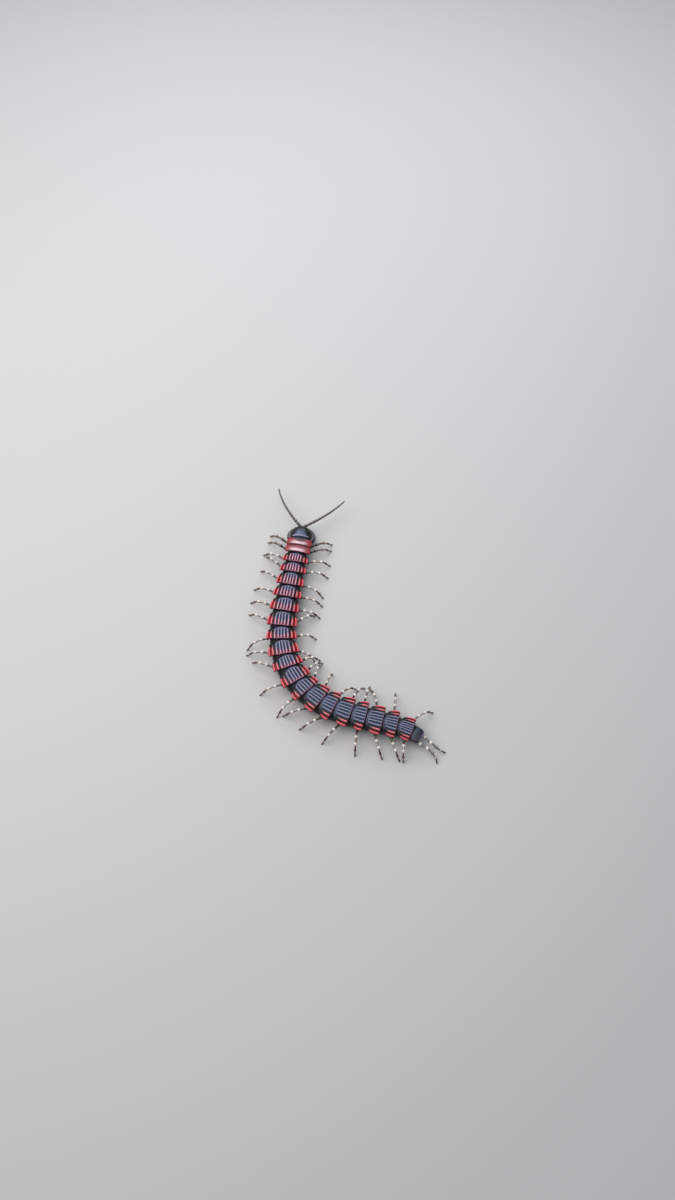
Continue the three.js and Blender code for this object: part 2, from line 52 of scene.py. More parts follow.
# The trunk.
SEGMENTS = 21
FRONT_LENGTHS = (3.0, 2.9, 3.9, 4.1, 5.2, 4.8, 5.5)
LONG = 5.81
SHORT = 5.01
LAST_LENGTH = 3.9
LAST_LONG = 5.35
HALF_WIDTH = 5.3
FRONT_TAPER = {"by": 0.85, "over": 8}
REAR_TAPER = {"by": 2.2, "first": 15.5, "power": 3}
EDGE_Z = 4.9
ARCH = 1.3
ARCH_POWER = 2.3
NARROW_EDGE = 0.2  # share of the edge's height that shrinks with the width
COLLAR_DROP = 0.75  # from the top of a plate down to the collar at its joint

# Nine lengthwise keels on each back plate from the third to the last but one: the places of five
# of them as shares of the half width, how wide they are, and how far they stand up.
KEELS = ((0.0, 0.085), (0.2, 0.085), (0.43, 0.085), (0.685, 0.085), (0.935, 0.085))
KEEL_HEIGHT = 0.45
FIRST_KEELED = 3
PLATE_FRONT = 0.5
PLATE_REAR = 0.2  # past the joint, over the collar
FRONT_BOW = 1.0
SMOOTH_FRONT = 0.1  # the first two plates and the last one have no keels
SMOOTH_BOW = 0.5
LAST_PLATE = {"half": 2.15, "raised": 0.3, "arch": 0.34}
KEEL_START = 0.7  # from the front border to the line where the keels begin
ARCH_LINE = 0.62  # height of that line, as a share of the keels' height
REAR_WEAR = 0.4  # and of the keels' ends at the rear border
KEEL_BOW = 1.7  # times a squared share of the half width, the retreat of that line

# The corners of a plate are cut back as a power of the place across. In front of the keels the
# plate rises to their line from "before", a share of the way there. Behind the line the grooves
# reach their depth "over" a share of the length, and from "worn_from" on the crests wear down.
CORNER_POWER = 9.0
SWELL = {"before": 0.45, "over": 0.1, "worn_from": 0.9}
SIDE_KEELS = (0.46, 0.54)  # past these shares of the half width the grooves run on in front of it

# Points of a plate: across, along, and through its thickness.
PLATE_GRID = (145, 41, 3)
SMALL_GRID = (49, 33, 3)

# A walking leg: the plan distance from the joint before, the height, the share of a fold's
# lift, the radius and the share of the swing of each joint. The last row is the claw's tip.
LEG_ROOT = {"at": 0.66, "first_at": 0.8, "pivot": 0.9, "z": 2.4, "radius": 0.52}
LEG_JOINTS = (
    (1.15, 2.9, 0, 0.6, 0.8),
    (2.35, 3.9, 0.5, 0.58, 0.9),
    (2.4, 3.6, 1.0, 0.54, 1.0),
    (1.55, 1.7, 0.5, 0.4, 1.2),
    (1.15, 0.12, 0, 0.28, 1.4),
    (0.5, 0.04, 0, 0.12, 1.4),
)
INNER_FOLD = 0.014  # share of its reach that a leg loses for each degree that the body bends to it
FOLD_LIFT = 3.2  # and how far its joints rise with that share
WALL_SHARE = 0.72  # place of the body's wall, as a share of the half width
GAP = 0.32  # between the wall and the root of a leg
SWING_LEFT = (22, 20, 9, 31, 23, 6, 7, 18, -23, 10, 38, 10, -3, 38, 36, 23, -10, -30, -34, -18)
SWING_RIGHT = (26, 25, 10, 4, -16, -6, -3, 34, 0, -34, -9, 5, 27, 13, -30, -18, 0, 29, 9, -38)

# The last pair of legs trails behind the body. Its line begins inside the body, that step away
# from its root.
LAST_LEG_ROOT = {"u": 1.45, "s": 2.5, "z": 2.2, "radius": 0.75, "inside": (0, 1.1, 0.1), "swell": 1.1}
LAST_LEG_JOINTS = (
    (2.2, 2.35, 0.68),
    (2.7, 2.6, 0.6),
    (2.1, 1.9, 0.5),
    (1.7, 1.1, 0.4),
    (1.2, 0.5, 0.28),
)
LAST_LEG_TURNS = {"left": (4, 2, 9, 18, 44), "right": (-14, -6, -4, 4, 22)}
# The claw of a last leg: its length, drop and radius, and the share by which the painted highlight stripe
# on the last legs is brown instead of pale grey.
LAST_CLAW = {"length": 0.5, "drop": 0.2, "radius": 0.12, "tan": 0.6}

# The head, forward of the neck joint.
HEAD_HALF = 3.95
HEAD_EDGE_Z = 4.05
HEAD_TOP_Z = 6.55
HEAD_UNDER_Z = 2.95
HEAD_FRONT = 5.4
HEAD_REAR = 0.1
HEAD_SHIELD = {
    "Half Width": HEAD_HALF, "Front": -HEAD_FRONT, "Rear": -HEAD_REAR, "Corner": -0.35,
    "Edge Height": HEAD_EDGE_Z, "Arch": HEAD_TOP_Z - HEAD_EDGE_Z, "Thickness": 0.3,
}
ANTENNA = {"articles": 17, "length": 17.4, "base": 0.52, "tip": 0.25, "inside": 0.7}
ARTICLE_SHARES = (1.25, 0.75)
ANTENNA_ROOT = (1.3, 5.72, 4.15)
ANTENNA_AIM = {
    "left": {"yaw": (50, 16), "pitch": (16, -14)},
    "right": {"yaw": (60, 32), "pitch": (12, -8)},
}
EYE = {"u": 2.4, "y": 4.05, "turn": 42, "along": 0.38, "out": 0.24, "sunk": 0.04, "radius": 0.21}
OCELLI = ((-1.1, 0), (0, 1), (0.1, -1), (1.1, 0.1))  # places of the eyes, along and outward
FANG = (
    (2.4, -0.3, 2.0, 0.7),
    (3.4, 0.05, 2.1, 0.85),
    (3.85, 0.75, 2.4, 1.1),
    (4.0, 2.0, 2.5, 1.1),
    (3.75, 3.2, 2.35, 0.9),
    (3.1, 4.3, 2.15, 0.7),
    (2.2, 5.15, 2.0, 0.52),
    (1.25, 5.7, 1.9, 0.34),
    (0.5, 5.85, 1.85, 0.14),
)
FANG_BASE = {
    "Half Width": 2.55, "Front": -3.3, "Rear": 1.1, "Bow": 0.3, "Corner": -0.4, "Edge Height": -1.35,
    "Arch": 0.25, "Thickness": 1.1,
}

SIDES = (("left", -1), ("right", 1))


def smooth(x):
    x = min(max(x, 0.0), 1.0)
    return x * x * (3 - 2 * x)


def mix(a, b, share):
    return a + (b - a) * share


# The body line, segment by segment. Segment 0 stands for the head.


def heading_of(i):
    body = smooth((i - BODY_BEND["first"]) / (BODY_BEND["last"] - BODY_BEND["first"]))
    tail = smooth((i - TAIL_BEND["first"]) / (TAIL_BEND["last"] - TAIL_BEND["first"]))
    turned = HEAD_TURN if i == 0 else 0
    return HEADING + turned + BODY_BEND["turn"] * body + TAIL_BEND["turn"] * tail


def heading_in(joint):
    """The heading at the joint behind that segment."""
    return (heading_of(joint) + heading_of(min(joint + 1, SEGMENTS))) / 2


def length_of(i):
    if i <= len(FRONT_LENGTHS):
        return FRONT_LENGTHS[i - 1]
    if i == SEGMENTS:
        return LAST_LENGTH
    if i == SEGMENTS - 1:
        return LAST_LONG
    return SHORT if i % 2 else LONG


def half_width_of(i):
    front = FRONT_TAPER["by"] * (1 - smooth((i - 1) / FRONT_TAPER["over"]))
    rear = max(0, (i - REAR_TAPER["first"]) / (SEGMENTS - REAR_TAPER["first"]))
    return HALF_WIDTH - front - REAR_TAPER["by"] * rear ** REAR_TAPER["power"]


def sizes_of(i):
    half = half_width_of(i)
    share = half / HALF_WIDTH
    edge = EDGE_Z * (1 - NARROW_EDGE + NARROW_EDGE * share)
    return {"half": half, "edge": edge, "arch": ARCH * share, "length": length_of(i)}


def on_floor(x, y, heading):
    """A place on the floor: x to the animal's right, y to its front, z up."""
    return Matrix.Translation((x, y, 0)) @ Matrix.Rotation(math.radians(heading), 4, "Z")


def body_line():
    """The place of each segment, at the joint before it."""
    segments = [on_floor(*NECK, heading_of(0))]
    x, y = NECK
    for i in range(1, SEGMENTS + 1):
        segments.append(on_floor(x, y, heading_of(i)))
        x, y, _ = segments[i] @ Vector((0, -length_of(i), 0))
    return segments


SEGMENT_PLACES = body_line()

# Nodes of shaders and of Geometry Nodes.


def socket(sockets, key):
    """The socket at that place among the live ones, or the first of them of that name."""
    live = [s for s in sockets if s.enabled]
    return live[key] if isinstance(key, int) else next(s for s in live if s.name == key)


SMOOTH = {"interpolation_type": "SMOOTHSTEP"}  # of a Map Range node
COLOURS = {"data_type": "RGBA"}  # of a Mix node


def add(tree, kind, inputs=(), **settings):
    """Adds a node with its settings. Its inputs go by name, or in the order in which the node
    shows them, and each is a socket, a node, a value or the sRGB hex value of a colour."""
    made = tree.nodes.new(kind)
    for name, value in settings.items():
        setattr(made, name, value)
    named = inputs.items() if isinstance(inputs, dict) else enumerate(inputs)
    for key, value in named:
        target = socket(made.inputs, key)
        if isinstance(value, bpy.types.Node):
            value = next(s for s in value.outputs if s.enabled)
        if isinstance(value, bpy.types.NodeSocket):
            tree.links.new(value, target)
        elif target.type == "RGBA":
            target.default_value = colour(value)
        else:
            target.default_value = value
    return made


def draw_curve(made, points):
    """Gives a curve node its points, each (place, height) from 0 to 1."""
    curve = made.mapping.curves[0]
    while len(curve.points) < len(points):
        curve.points.new(0.5, 0.5)
    for point, place in zip(curve.points, points):
        point.location = place
    made.mapping.update()
    return made


def colour(text):
    """The linear colour of an sRGB hex value."""
    parts = [int(text[k:k + 2], 16) / 255 for k in (0, 2, 4)]
    linear = [v / 12.92 if v <= 0.04045 else ((v + 0.055) / 1.055) ** 2.4 for v in parts]
    return (*linear, 1.0)


def set_stops(made, stops):
    """Gives a colour ramp node its (place, colour) stops."""
    stops = list(stops)
    elements = made.color_ramp.elements
    while len(elements) < len(stops):
        elements.new(0.5)
    for element, (place, value) in zip(elements, stops):
        element.position = place
        element.color = colour(value)
    return made


# Meshes.


def show(name, mesh):
    mesh.name = name
    made = bpy.data.objects.new(name, mesh)
    bpy.context.scene.collection.objects.link(made)
    return made


def mesh_object(name, points, faces=(), edges=(), **attributes):
    """A smooth mesh from points in millimetres, with a value of each attribute for each point."""
    mesh = bpy.data.meshes.new(name)
    mesh.from_pydata([Vector(p) * MM for p in points], edges, faces)
    mesh.polygons.foreach_set("use_smooth", [True] * len(mesh.polygons))
    for key, values in attributes.items():
        mesh.attributes.new(key, "FLOAT", "POINT").data.foreach_set("value", values)
    return show(name, mesh)


def loft(name, rings, material):
    """A closed surface through rings of points, with a fan on a middle point at both ends."""
    count = len(rings[0])
    points = [p for ring in rings for p in ring]
    middle = len(points)
    last = middle - count
    faces = []
    for start in range(0, last, count):
        for c in range(count):
            a = start + c
            b = start + (c + 1) % count
            faces.append((a, b, b + count, a + count))
    for c in range(count):
        after = (c + 1) % count
        faces.append((middle, after, c))
        faces.append((middle + 1, last + c, last + after))
    for ring in (rings[0], rings[-1]):
        points.append(sum(ring, Vector()) / count)
    made = mesh_object(name, points, faces)
    made.data.materials.append(material)
    work = bmesh.new()
    work.from_mesh(made.data)
    bmesh.ops.recalc_face_normals(work, faces=work.faces)
    work.to_mesh(made.data)
    work.free()
    return made


def plain_mesh(source):
    """The mesh that an object's modifiers make, with its one material in the first place. The
    object itself is removed."""
    depsgraph = bpy.context.evaluated_depsgraph_get()
    mesh = bpy.data.meshes.new_from_object(source.evaluated_get(depsgraph))
    for modifier in list(source.modifiers):
        source.modifiers.remove(modifier)
    bpy.data.objects.remove(source)
    material = mesh.materials[-1]
    mesh.materials.clear()
    mesh.materials.append(material)
    mesh.polygons.foreach_set("material_index", [0] * len(mesh.polygons))
    return mesh


def grown(name, tree, inputs, base=None):
    """The piece that a Geometry Nodes tree makes from its named inputs, in metres."""
    source = base or mesh_object(name, [(0, 0, 0)])
    modifier = source.modifiers.new(name, "NODES")
    modifier.node_group = tree
    for item in tree.interface.items_tree:
        if item.in_out == "INPUT" and item.name in inputs:
            modifier[item.identifier] = inputs[item.name]
    return show(name, plain_mesh(source))


def put(made, place):
    """Moves a mesh in metres to a place in millimetres."""
    moved = place.copy()
    moved.translation = place.translation * MM
    made.data.transform(moved)
    return made


def stood(made):
    """Flattens what dips below the floor, as a foot does under weight."""
    for vertex in made.data.vertices:
        vertex.co.z = max(vertex.co.z, 0.0)
    return made


def finished(made, slot, *nodes):
    """Hangs a piece on the body, in place of the CAD nodes named. Its slot is not used."""
    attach(made, "root")
    if nodes:
        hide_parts(*nodes)
    return made


def new_tree(name, sizes):
    """A Geometry Nodes tree with a geometry input and a number input for each size."""
    tree = bpy.data.node_groups.new(name, "GeometryNodeTree")
    tree.interface.new_socket("Geometry", in_out="INPUT", socket_type="NodeSocketGeometry")
    tree.interface.new_socket("Geometry", in_out="OUTPUT", socket_type="NodeSocketGeometry")
    for size in sizes:
        tree.interface.new_socket(size, in_out="INPUT", socket_type="NodeSocketFloat")
    return tree, tree.nodes.new("NodeGroupInput").outputs


def close_tree(tree, geometry, material):
    whole = add(tree, "GeometryNodeRealizeInstances", [geometry])
    coated = add(tree, "GeometryNodeSetMaterial", {"Geometry": whole, "Material": material})
    add(tree, "NodeGroupOutput", [coated])


# Materials. Every piece is chitin, most of it under a waxy layer with a sharper gloss.

CHITIN_IOR = 1.56
WAX = {"Coat Roughness": 0.12, "Coat IOR": 1.45}
GRAIN = {"Detail": 3.0, "Roughness": 0.6}


def new_material(name, *keys):
    """A material, its tree, and the attributes of its pieces that it goes by."""
    material = bpy.data.materials.new(name)
    material.use_nodes = True
    tree = material.node_tree
    tree.nodes.clear()
    values = [add(tree, "ShaderNodeAttribute", attribute_name=key).outputs["Fac"] for key in keys]
    return material, tree, values


def grain(tree, size, stretch=(1, 1, 1)):
    """Noise whose grains are that many millimetres wide, on the object's own coordinates."""
    place = add(tree, "ShaderNodeTexCoord").outputs["Object"]
    sized = add(tree, "ShaderNodeMapping", {"Vector": place, "Scale": stretch})
    return add(tree, "ShaderNodeTexNoise", {"Vector": sized, "Scale": 1 / (size * MM), **GRAIN})


def close_material(tree, base, fine, depth, roughness, coat, specular=0.5):
    """The shader of a cuticle: its colour, its fine grain, as wide and as deep as that in
    millimetres, and its gloss."""
    bump = add(tree, "ShaderNodeBump", {"Height": grain(tree, fine), "Distance": depth * MM})
    shader = add(tree, "ShaderNodeBsdfPrincipled", {
        "Base Color": base, "Normal": bump, "IOR": CHITIN_IOR, "Roughness": roughness,
        "Specular IOR Level": specular, "Coat Weight": coat, **WAX})
    add(tree, "ShaderNodeOutputMaterial", [shader])


# Tones of a keeled plate from groove to crest, each (place, colour). The rise from groove to crest is
# partly the cuticle's own tone, partly painted shade in the grooves and a painted highlight on the crests.
KEEL_TONES = {
    "slate": ((0.0, "262c4c"), (0.35, "414768"), (0.75, "8a89a8"), (1.0, "aeabc6")),
    "wear_and_highlight": ((0.0, "2a344c"), (0.35, "424e6a"), (0.75, "77809a"), (1.0, "9ca3bd")),
    "rosy": ((0.0, "3c1d30"), (0.35, "7d3f58"), (0.75, "e28ba4"), (1.0, "fac4d2")),
    "dark": ((0.0, "060709"), (0.5, "181b1f"), (1.0, "757f84")),
    "red": ((0.0, "86000e"), (0.3, "b00618"), (0.7, "f0394b"), (1.0, "ff8490")),
}

# Borders between them, each from a share to a share of the half width, of the length for the
# rims, or of the height of a keel for the groove between the red ones.
KEEL_ZONES = {"black": (0.49, 0.54), "outer": (0.58, 0.62), "pale_keel": (0.8, 0.74), "red": (0.66, 0.94),
              "rim": (0.93, 0.97), "dark_rim": (0.95, 0.98), "groove": (0.55, 0.15)}

# Where pink begins on the middle keels and red on the side keels, as shares of the length of a
# plate, how strong the pink is on a plate of a given redness, and how strong the tones over them.
PINK = {"rear": 0.97, "outward": 0.45, "over": 0.3, "by_redness": 3.0, "least": 0.4, "rim": 0.65}
RED = {"inner": 0.36, "outer": 0.08, "over": 0.26, "pale": 0.4, "black": 0.9}


def middle_keels(tree, side, along, redness, tone_and_reflection, tones):
    """Lilac crests on slate, duller near the tail, and the wide black groove beside them. Pink
    creeps forward along the crests from the rear border, and further on redder plates."""
    reach = add(tree, "ShaderNodeMath", [side, PINK["outward"], redness], operation="MULTIPLY_ADD")
    start = add(tree, "ShaderNodeMath", [PINK["rear"], reach], operation="SUBTRACT")
    full = add(tree, "ShaderNodeMath", [start, PINK["over"]], operation="ADD")
    pink = add(tree, "ShaderNodeMapRange", [along, start, full], **SMOOTH)
    strength = add(tree, "ShaderNodeMath", [redness, PINK["by_redness"], PINK["least"]],
                   operation="MULTIPLY_ADD", use_clamp=True)
    pink = add(tree, "ShaderNodeMath", [pink, strength], operation="MULTIPLY")
    rim = add(tree, "ShaderNodeMapRange", [along, *KEEL_ZONES["rim"], 0.0, PINK["rim"]], **SMOOTH)
    rim_tone = add(tree, "ShaderNodeMix", [strength, "6a6f8c", "d489a6"], **COLOURS)
    beside = add(tree, "ShaderNodeMapRange", [side, *KEEL_ZONES["black"]], **SMOOTH)
    whole = tones["slate"]
    for mask, tone in ((tone_and_reflection, tones["wear_and_highlight"]), (pink, tones["rosy"]), (rim, rim_tone),
                       (beside, tones["dark"])):
        whole = add(tree, "ShaderNodeMix", [mask, whole, tone], **COLOURS)
    return whole


def side_keels(tree, side, along, crest, tone_and_reflection, tones):
    """Two red crests, the inner one paler on its top, partly by its own tone and partly by a painted
    highlight, whose front ends are grey on black. On the plates near the tail the groove between them is
    nearly black."""
    low = add(tree, "ShaderNodeMapRange", [crest, *KEEL_ZONES["groove"], 0.0, RED["black"]])
    low = add(tree, "ShaderNodeMath", [low, tone_and_reflection], operation="MULTIPLY")
    # The pale top of the inner red crest is partly a painted highlight.
    pale = add(tree, "ShaderNodeMapRange", [side, *KEEL_ZONES["pale_keel"], 0.0, RED["pale"]], **SMOOTH)
    pale = add(tree, "ShaderNodeMath", [pale, crest], operation="MULTIPLY")
    rim = add(tree, "ShaderNodeMapRange", [along, *KEEL_ZONES["dark_rim"]], **SMOOTH)
    red = tones["red"]
    for mask, tone in ((low, "150205"), (pale, "f2b2c0"), (rim, "640010")):
        red = add(tree, "ShaderNodeMix", [mask, red, tone], **COLOURS)
    begin = add(tree, "ShaderNodeMapRange", [side, *KEEL_ZONES["red"], RED["inner"], RED["outer"]])
    fully = add(tree, "ShaderNodeMath", [begin, RED["over"]], operation="ADD")
    turned = add(tree, "ShaderNodeMapRange", [along, begin, fully], **SMOOTH)
    return add(tree, "ShaderNodeMix", [turned, tones["dark"], red], **COLOURS)


def keeled_cuticle():
    """Thick tanned cuticle, grown in keels: lilac crests on slate in the middle, and two red
    crests on each side, with painted highlights on the crests and painted shade in the grooves. In front
    of them lies a smooth band, black on most plates, and near the tail a painted slate reflection of the
    sky, strongest in the middle."""
    material, tree, values = new_material(
        "tanned_cuticle_keeled", "side", "along", "crest", "behind", "redness", "tone_and_reflection")
    side, along, crest, behind, redness, tone_and_reflection = values
    # The pale crests carry a painted highlight, and the dark grooves painted shade.
    tones = {key: set_stops(add(tree, "ShaderNodeValToRGB", [crest]), stops)
             for key, stops in KEEL_TONES.items()}
    middle = middle_keels(tree, side, along, redness, tone_and_reflection, tones)
    flank = side_keels(tree, side, along, crest, tone_and_reflection, tones)
    outer = add(tree, "ShaderNodeMapRange", [side, *KEEL_ZONES["outer"]], **SMOOTH)
    keeled = add(tree, "ShaderNodeMix", [outer, middle, flank], **COLOURS)
    # Near the tail the band carries a painted slate reflection of the sky, strongest in the middle.
    sky_reflection = add(tree, "ShaderNodeMath", [tone_and_reflection, side], operation="SUBTRACT", use_clamp=True)
    band = add(tree, "ShaderNodeMix", [sky_reflection, "07080a", "626a8c"], **COLOURS)
    whole = add(tree, "ShaderNodeMix", [behind, band, keeled], **COLOURS)
    mottle = add(tree, "ShaderNodeMapRange", {"Value": grain(tree, 0.5), "To Min": 0.8, "To Max": 1.2})
    whole = add(tree, "ShaderNodeVectorMath", [whole, mottle], operation="SCALE")
    close_material(tree, whole, fine=0.12, depth=0.003, roughness=0.38, coat=0.1, specular=0.24)
    return material


# The first two plates: their tones from front to rear, whose dark front and rear ends are painted
# shade where the plates overlap, and the borders of their shine, a painted highlight, of the patch and
# of the redder ends, each from a share to a share. Two more numbers say from how much to how much.
FRONT_TONES = ((0.0, "1c0c10"), (0.1, "4a1c22"), (0.24, "94404a"), (0.6, "ae5460"), (0.88, "a0404a"),
               (0.96, "430f15"), (1.0, "2a070b"))
SHINE = {"rising": (0.4, 0.74), "falling": (0.95, 0.8), "inward": (0.82, 0.25),
         "clouds": (0.36, 0.6, 0.6, 1.0)}
PATCH = {"by_side": 1.1, "by_clouds": 0.3, "border": (0.86, 0.46)}
RED_ENDS = (0.6, 0.9, 0.0, 0.6)


def front_cuticle():
    """Cuticle of the first two plates, which have no keels: dull red, with a pale cloudy painted
    highlight across the rear and painted shade at the front and rear borders, and on the first plate with
    a slate patch in front."""
    material, tree, (side, along, tone_and_reflection) = new_material("tanned_cuticle_dull_red", "side", "along", "tone_and_reflection")
    ends = add(tree, "ShaderNodeMapRange", [side, *RED_ENDS], **SMOOTH)
    # The shine runs across the plate in a band that fades out to the sides.
    clouds = grain(tree, 0.7, stretch=(0.6, 1.6, 1))
    shine = add(tree, "ShaderNodeMapRange", [clouds, *SHINE["clouds"]])
    for value, key in ((along, "rising"), (along, "falling"), (side, "inward")):
        mask = add(tree, "ShaderNodeMapRange", [value, *SHINE[key]], **SMOOTH)
        shine = add(tree, "ShaderNodeMath", [shine, mask], operation="MULTIPLY")
    # The patch is widest in the middle, and the clouds fray its border.
    squared = add(tree, "ShaderNodeMath", [side, side], operation="MULTIPLY")
    away = add(tree, "ShaderNodeMath", [squared, PATCH["by_side"], along], operation="MULTIPLY_ADD")
    away = add(tree, "ShaderNodeMath", [clouds, PATCH["by_clouds"], away], operation="MULTIPLY_ADD")
    patch = add(tree, "ShaderNodeMapRange", [away, *PATCH["border"]], **SMOOTH)
    patch = add(tree, "ShaderNodeMath", [patch, tone_and_reflection], operation="MULTIPLY")
    # The dark front and rear ends of these tones are painted shade where the plates overlap.
    whole = set_stops(add(tree, "ShaderNodeValToRGB", [along]), FRONT_TONES)
    for mask, tone in ((ends, "a3282c"), (shine, "fbe4ec"), (patch, "2c2c38")):
        whole = add(tree, "ShaderNodeMix", [mask, whole, tone], **COLOURS)
    close_material(tree, whole, fine=0.14, depth=0.008, roughness=0.4, coat=0.2, specular=0.4)
    return material


CLOUD_SHIFT = 0.3
PLATE_EDGE = (0.9, 0.97)


def clouded(tree, share, size):
    """A share from 0 to 1, shifted up and down in clouds that many millimetres wide."""
    shifted = add(tree, "ShaderNodeMath", [grain(tree, size), CLOUD_SHIFT, share],
                  operation="MULTIPLY_ADD")
    return add(tree, "ShaderNodeMath", [shifted, CLOUD_SHIFT / 2], operation="SUBTRACT")


def smooth_cuticle(name, stops, rim, roughness, coat):
    """Cuticle without keels, polished by wear. Its tone runs from front to rear, clouded by the
    layers in it, and past a share of the half width the rim takes a tone of its own."""
    material, tree, (side, along) = new_material(name, "side", "along")
    tone = set_stops(add(tree, "ShaderNodeValToRGB", [clouded(tree, along, 0.9)]), stops)
    edge = add(tree, "ShaderNodeMapRange", [side, *PLATE_EDGE], **SMOOTH)
    whole = add(tree, "ShaderNodeMix", [edge, tone, rim], **COLOURS)
    close_material(tree, whole, fine=0.14, depth=0.01, roughness=roughness, coat=coat, specular=0.3)
    return material


# The painted slate reflection on the head spans a share of the half width that grows to the rear,
# and the painted pale highlight line lies between two borders along the head.
PAINTED_REFLECTION = {"by_length": 0.8, "at_front": 0.06, "core": 0.45, "rearward": (0.25, 0.85)}
HEAD_RIM = {"begin": (0.88, 0.92), "end": (0.97, 0.94), "sides": (0.86, 0.7)}


def head_cuticle():
    """Cuticle of the head shield, polished black, with a painted slate reflection of the sky on its
    roof that widens to the rear, and a pale painted highlight line along the rear rim."""
    material, tree, (side, along) = new_material("tanned_cuticle_polished_black", "side", "along")
    roof = add(tree, "ShaderNodeMath", [along, PAINTED_REFLECTION["by_length"], PAINTED_REFLECTION["at_front"]],
               operation="MULTIPLY_ADD")
    core = add(tree, "ShaderNodeMath", [roof, PAINTED_REFLECTION["core"]], operation="MULTIPLY")
    painted_reflection = add(tree, "ShaderNodeMapRange", [side, roof, core], **SMOOTH)
    rearward = add(tree, "ShaderNodeMapRange", [along, *PAINTED_REFLECTION["rearward"]], **SMOOTH)
    cloud = add(tree, "ShaderNodeMapRange", {"Value": grain(tree, 0.8), "To Min": 0.5, "To Max": 1.1})
    for mask in (rearward, cloud):
        painted_reflection = add(tree, "ShaderNodeMath", [painted_reflection, mask], operation="MULTIPLY")
    # The pale line along the rear rim is a painted highlight.
    rim = 1.0
    for value, key in ((along, "begin"), (along, "end"), (side, "sides")):
        mask = add(tree, "ShaderNodeMapRange", [value, *HEAD_RIM[key]], **SMOOTH)
        rim = add(tree, "ShaderNodeMath", [rim, mask], operation="MULTIPLY")
    whole = add(tree, "ShaderNodeMix", [painted_reflection, "060608", "667090"], **COLOURS)
    whole = add(tree, "ShaderNodeMix", [rim, whole, "bdbcd4"], **COLOURS)
    close_material(tree, whole, fine=0.14, depth=0.005, roughness=0.42, coat=0.2, specular=0.35)
    return material


SOFT_HEIGHTS = (0.9 * MM, 4.2 * MM)  # between them it turns dark
SOFT_TONES = ((0.0, "5f4a41"), (0.4, "4a3836"), (0.75, "1d1a1d"), (1.0, "0c0c0f"))


def soft_cuticle():
    """Untanned cuticle between the plates, soft and folded: brown black above, paler below."""
    material, tree, _ = new_material("soft_cuticle_folded")
    place = add(tree, "ShaderNodeTexCoord").outputs["Object"]
    height = add(tree, "ShaderNodeSeparateXYZ", [place]).outputs["Z"]
    share = add(tree, "ShaderNodeMapRange", [height, *SOFT_HEIGHTS], **SMOOTH)
    tone = set_stops(add(tree, "ShaderNodeValToRGB", [clouded(tree, share, 0.6)]), SOFT_TONES)
    close_material(tree, tone, fine=0.16, depth=0.03, roughness=0.5, coat=0.05, specular=0.3)
    return material


# On a leg the tone rises from the shaft to the knob of a joint, and past it to brown. The painted
# highlight stripe on top, and the painted light and shade of the knobs, go by how far the surface faces up.
LEG_BORDERS = {"knob": (0.12, 0.38), "brown": (0.54, 0.66), "highlight_stripe": (0.84, 0.97), "lit": (0.3, 0.8)}
SHIN_TONES = ((0.55, "8a6a48"), (0.7, "63391b"), (0.88, "4a2713"), (1.0, "21120c"))
ANTENNA_SHADES = ((0.0, "1a1118"), (0.5, "2d1f28"), (1.0, "b09aa6"))
# The pale top of an antenna is a painted highlight.
ANTENNA_TOP = (0.9, 1.0, 0.0, 0.6)  # how far it faces up, from and to, and how pale it gets


def leg_cuticle():
    """Thin cuticle of a leg: dark with a pale grey stripe on top, which is a painted highlight,
    cream where the articles swell at their joints, with painted shade on their lower side, and brown from
    the shin on."""
    material, tree, (tone, upper, tan) = new_material("thin_cuticle_leg", "tone", "upper", "tan")
    painted_highlight, lit, swollen, outward = [
        add(tree, "ShaderNodeMapRange", [value, *LEG_BORDERS[key]], **SMOOTH)
        for value, key in ((upper, "highlight_stripe"), (upper, "lit"), (tone, "knob"), (tone, "brown"))]
    # The pale stripe on top is a painted highlight, brown on the legs in DARK_LEGS, and each knob is cream
    # with painted shade on its lower side.
    highlight_stripe = add(tree, "ShaderNodeMix", [tan, "cfc6bd", "7d6050"], **COLOURS)
    knob = add(tree, "ShaderNodeMix", [lit, "3a2f29", "fbf4ea"], **COLOURS)
    brown = set_stops(add(tree, "ShaderNodeValToRGB", [tone]), SHIN_TONES)
    whole = add(tree, "ShaderNodeMix", [painted_highlight, "1c1614", highlight_stripe], **COLOURS)
    for mask, layer in ((swollen, knob), (outward, brown)):
        whole = add(tree, "ShaderNodeMix", [mask, whole, layer], **COLOURS)
    close_material(tree, whole, fine=0.12, depth=0.01, roughness=0.34, coat=0.35)
    return material


def antenna_cuticle():
    """Thin cuticle of an antenna: dull purple brown, paler at the rings of the joints, and paler on
    top with a painted highlight.
    """
    material, tree, (tone, upper) = new_material("thin_cuticle_antenna", "tone", "upper")
    shades = set_stops(add(tree, "ShaderNodeValToRGB", [tone]), ANTENNA_SHADES)
    lit = add(tree, "ShaderNodeMapRange", [upper, *ANTENNA_TOP], **SMOOTH)
    whole = add(tree, "ShaderNodeMix", [lit, shades, "b29ca8"], **COLOURS)
    close_material(tree, whole, fine=0.1, depth=0.01, roughness=0.38, coat=0.25)
    return material


CLOUDS = (0.3, 0.7)  # where the deep tone of a clouded cuticle ends and where the light one begins
# How far a surface faces up, where the painted highlight line on top begins and where it is full.
HIGHLIGHT_LINE = (0.84, 0.96)


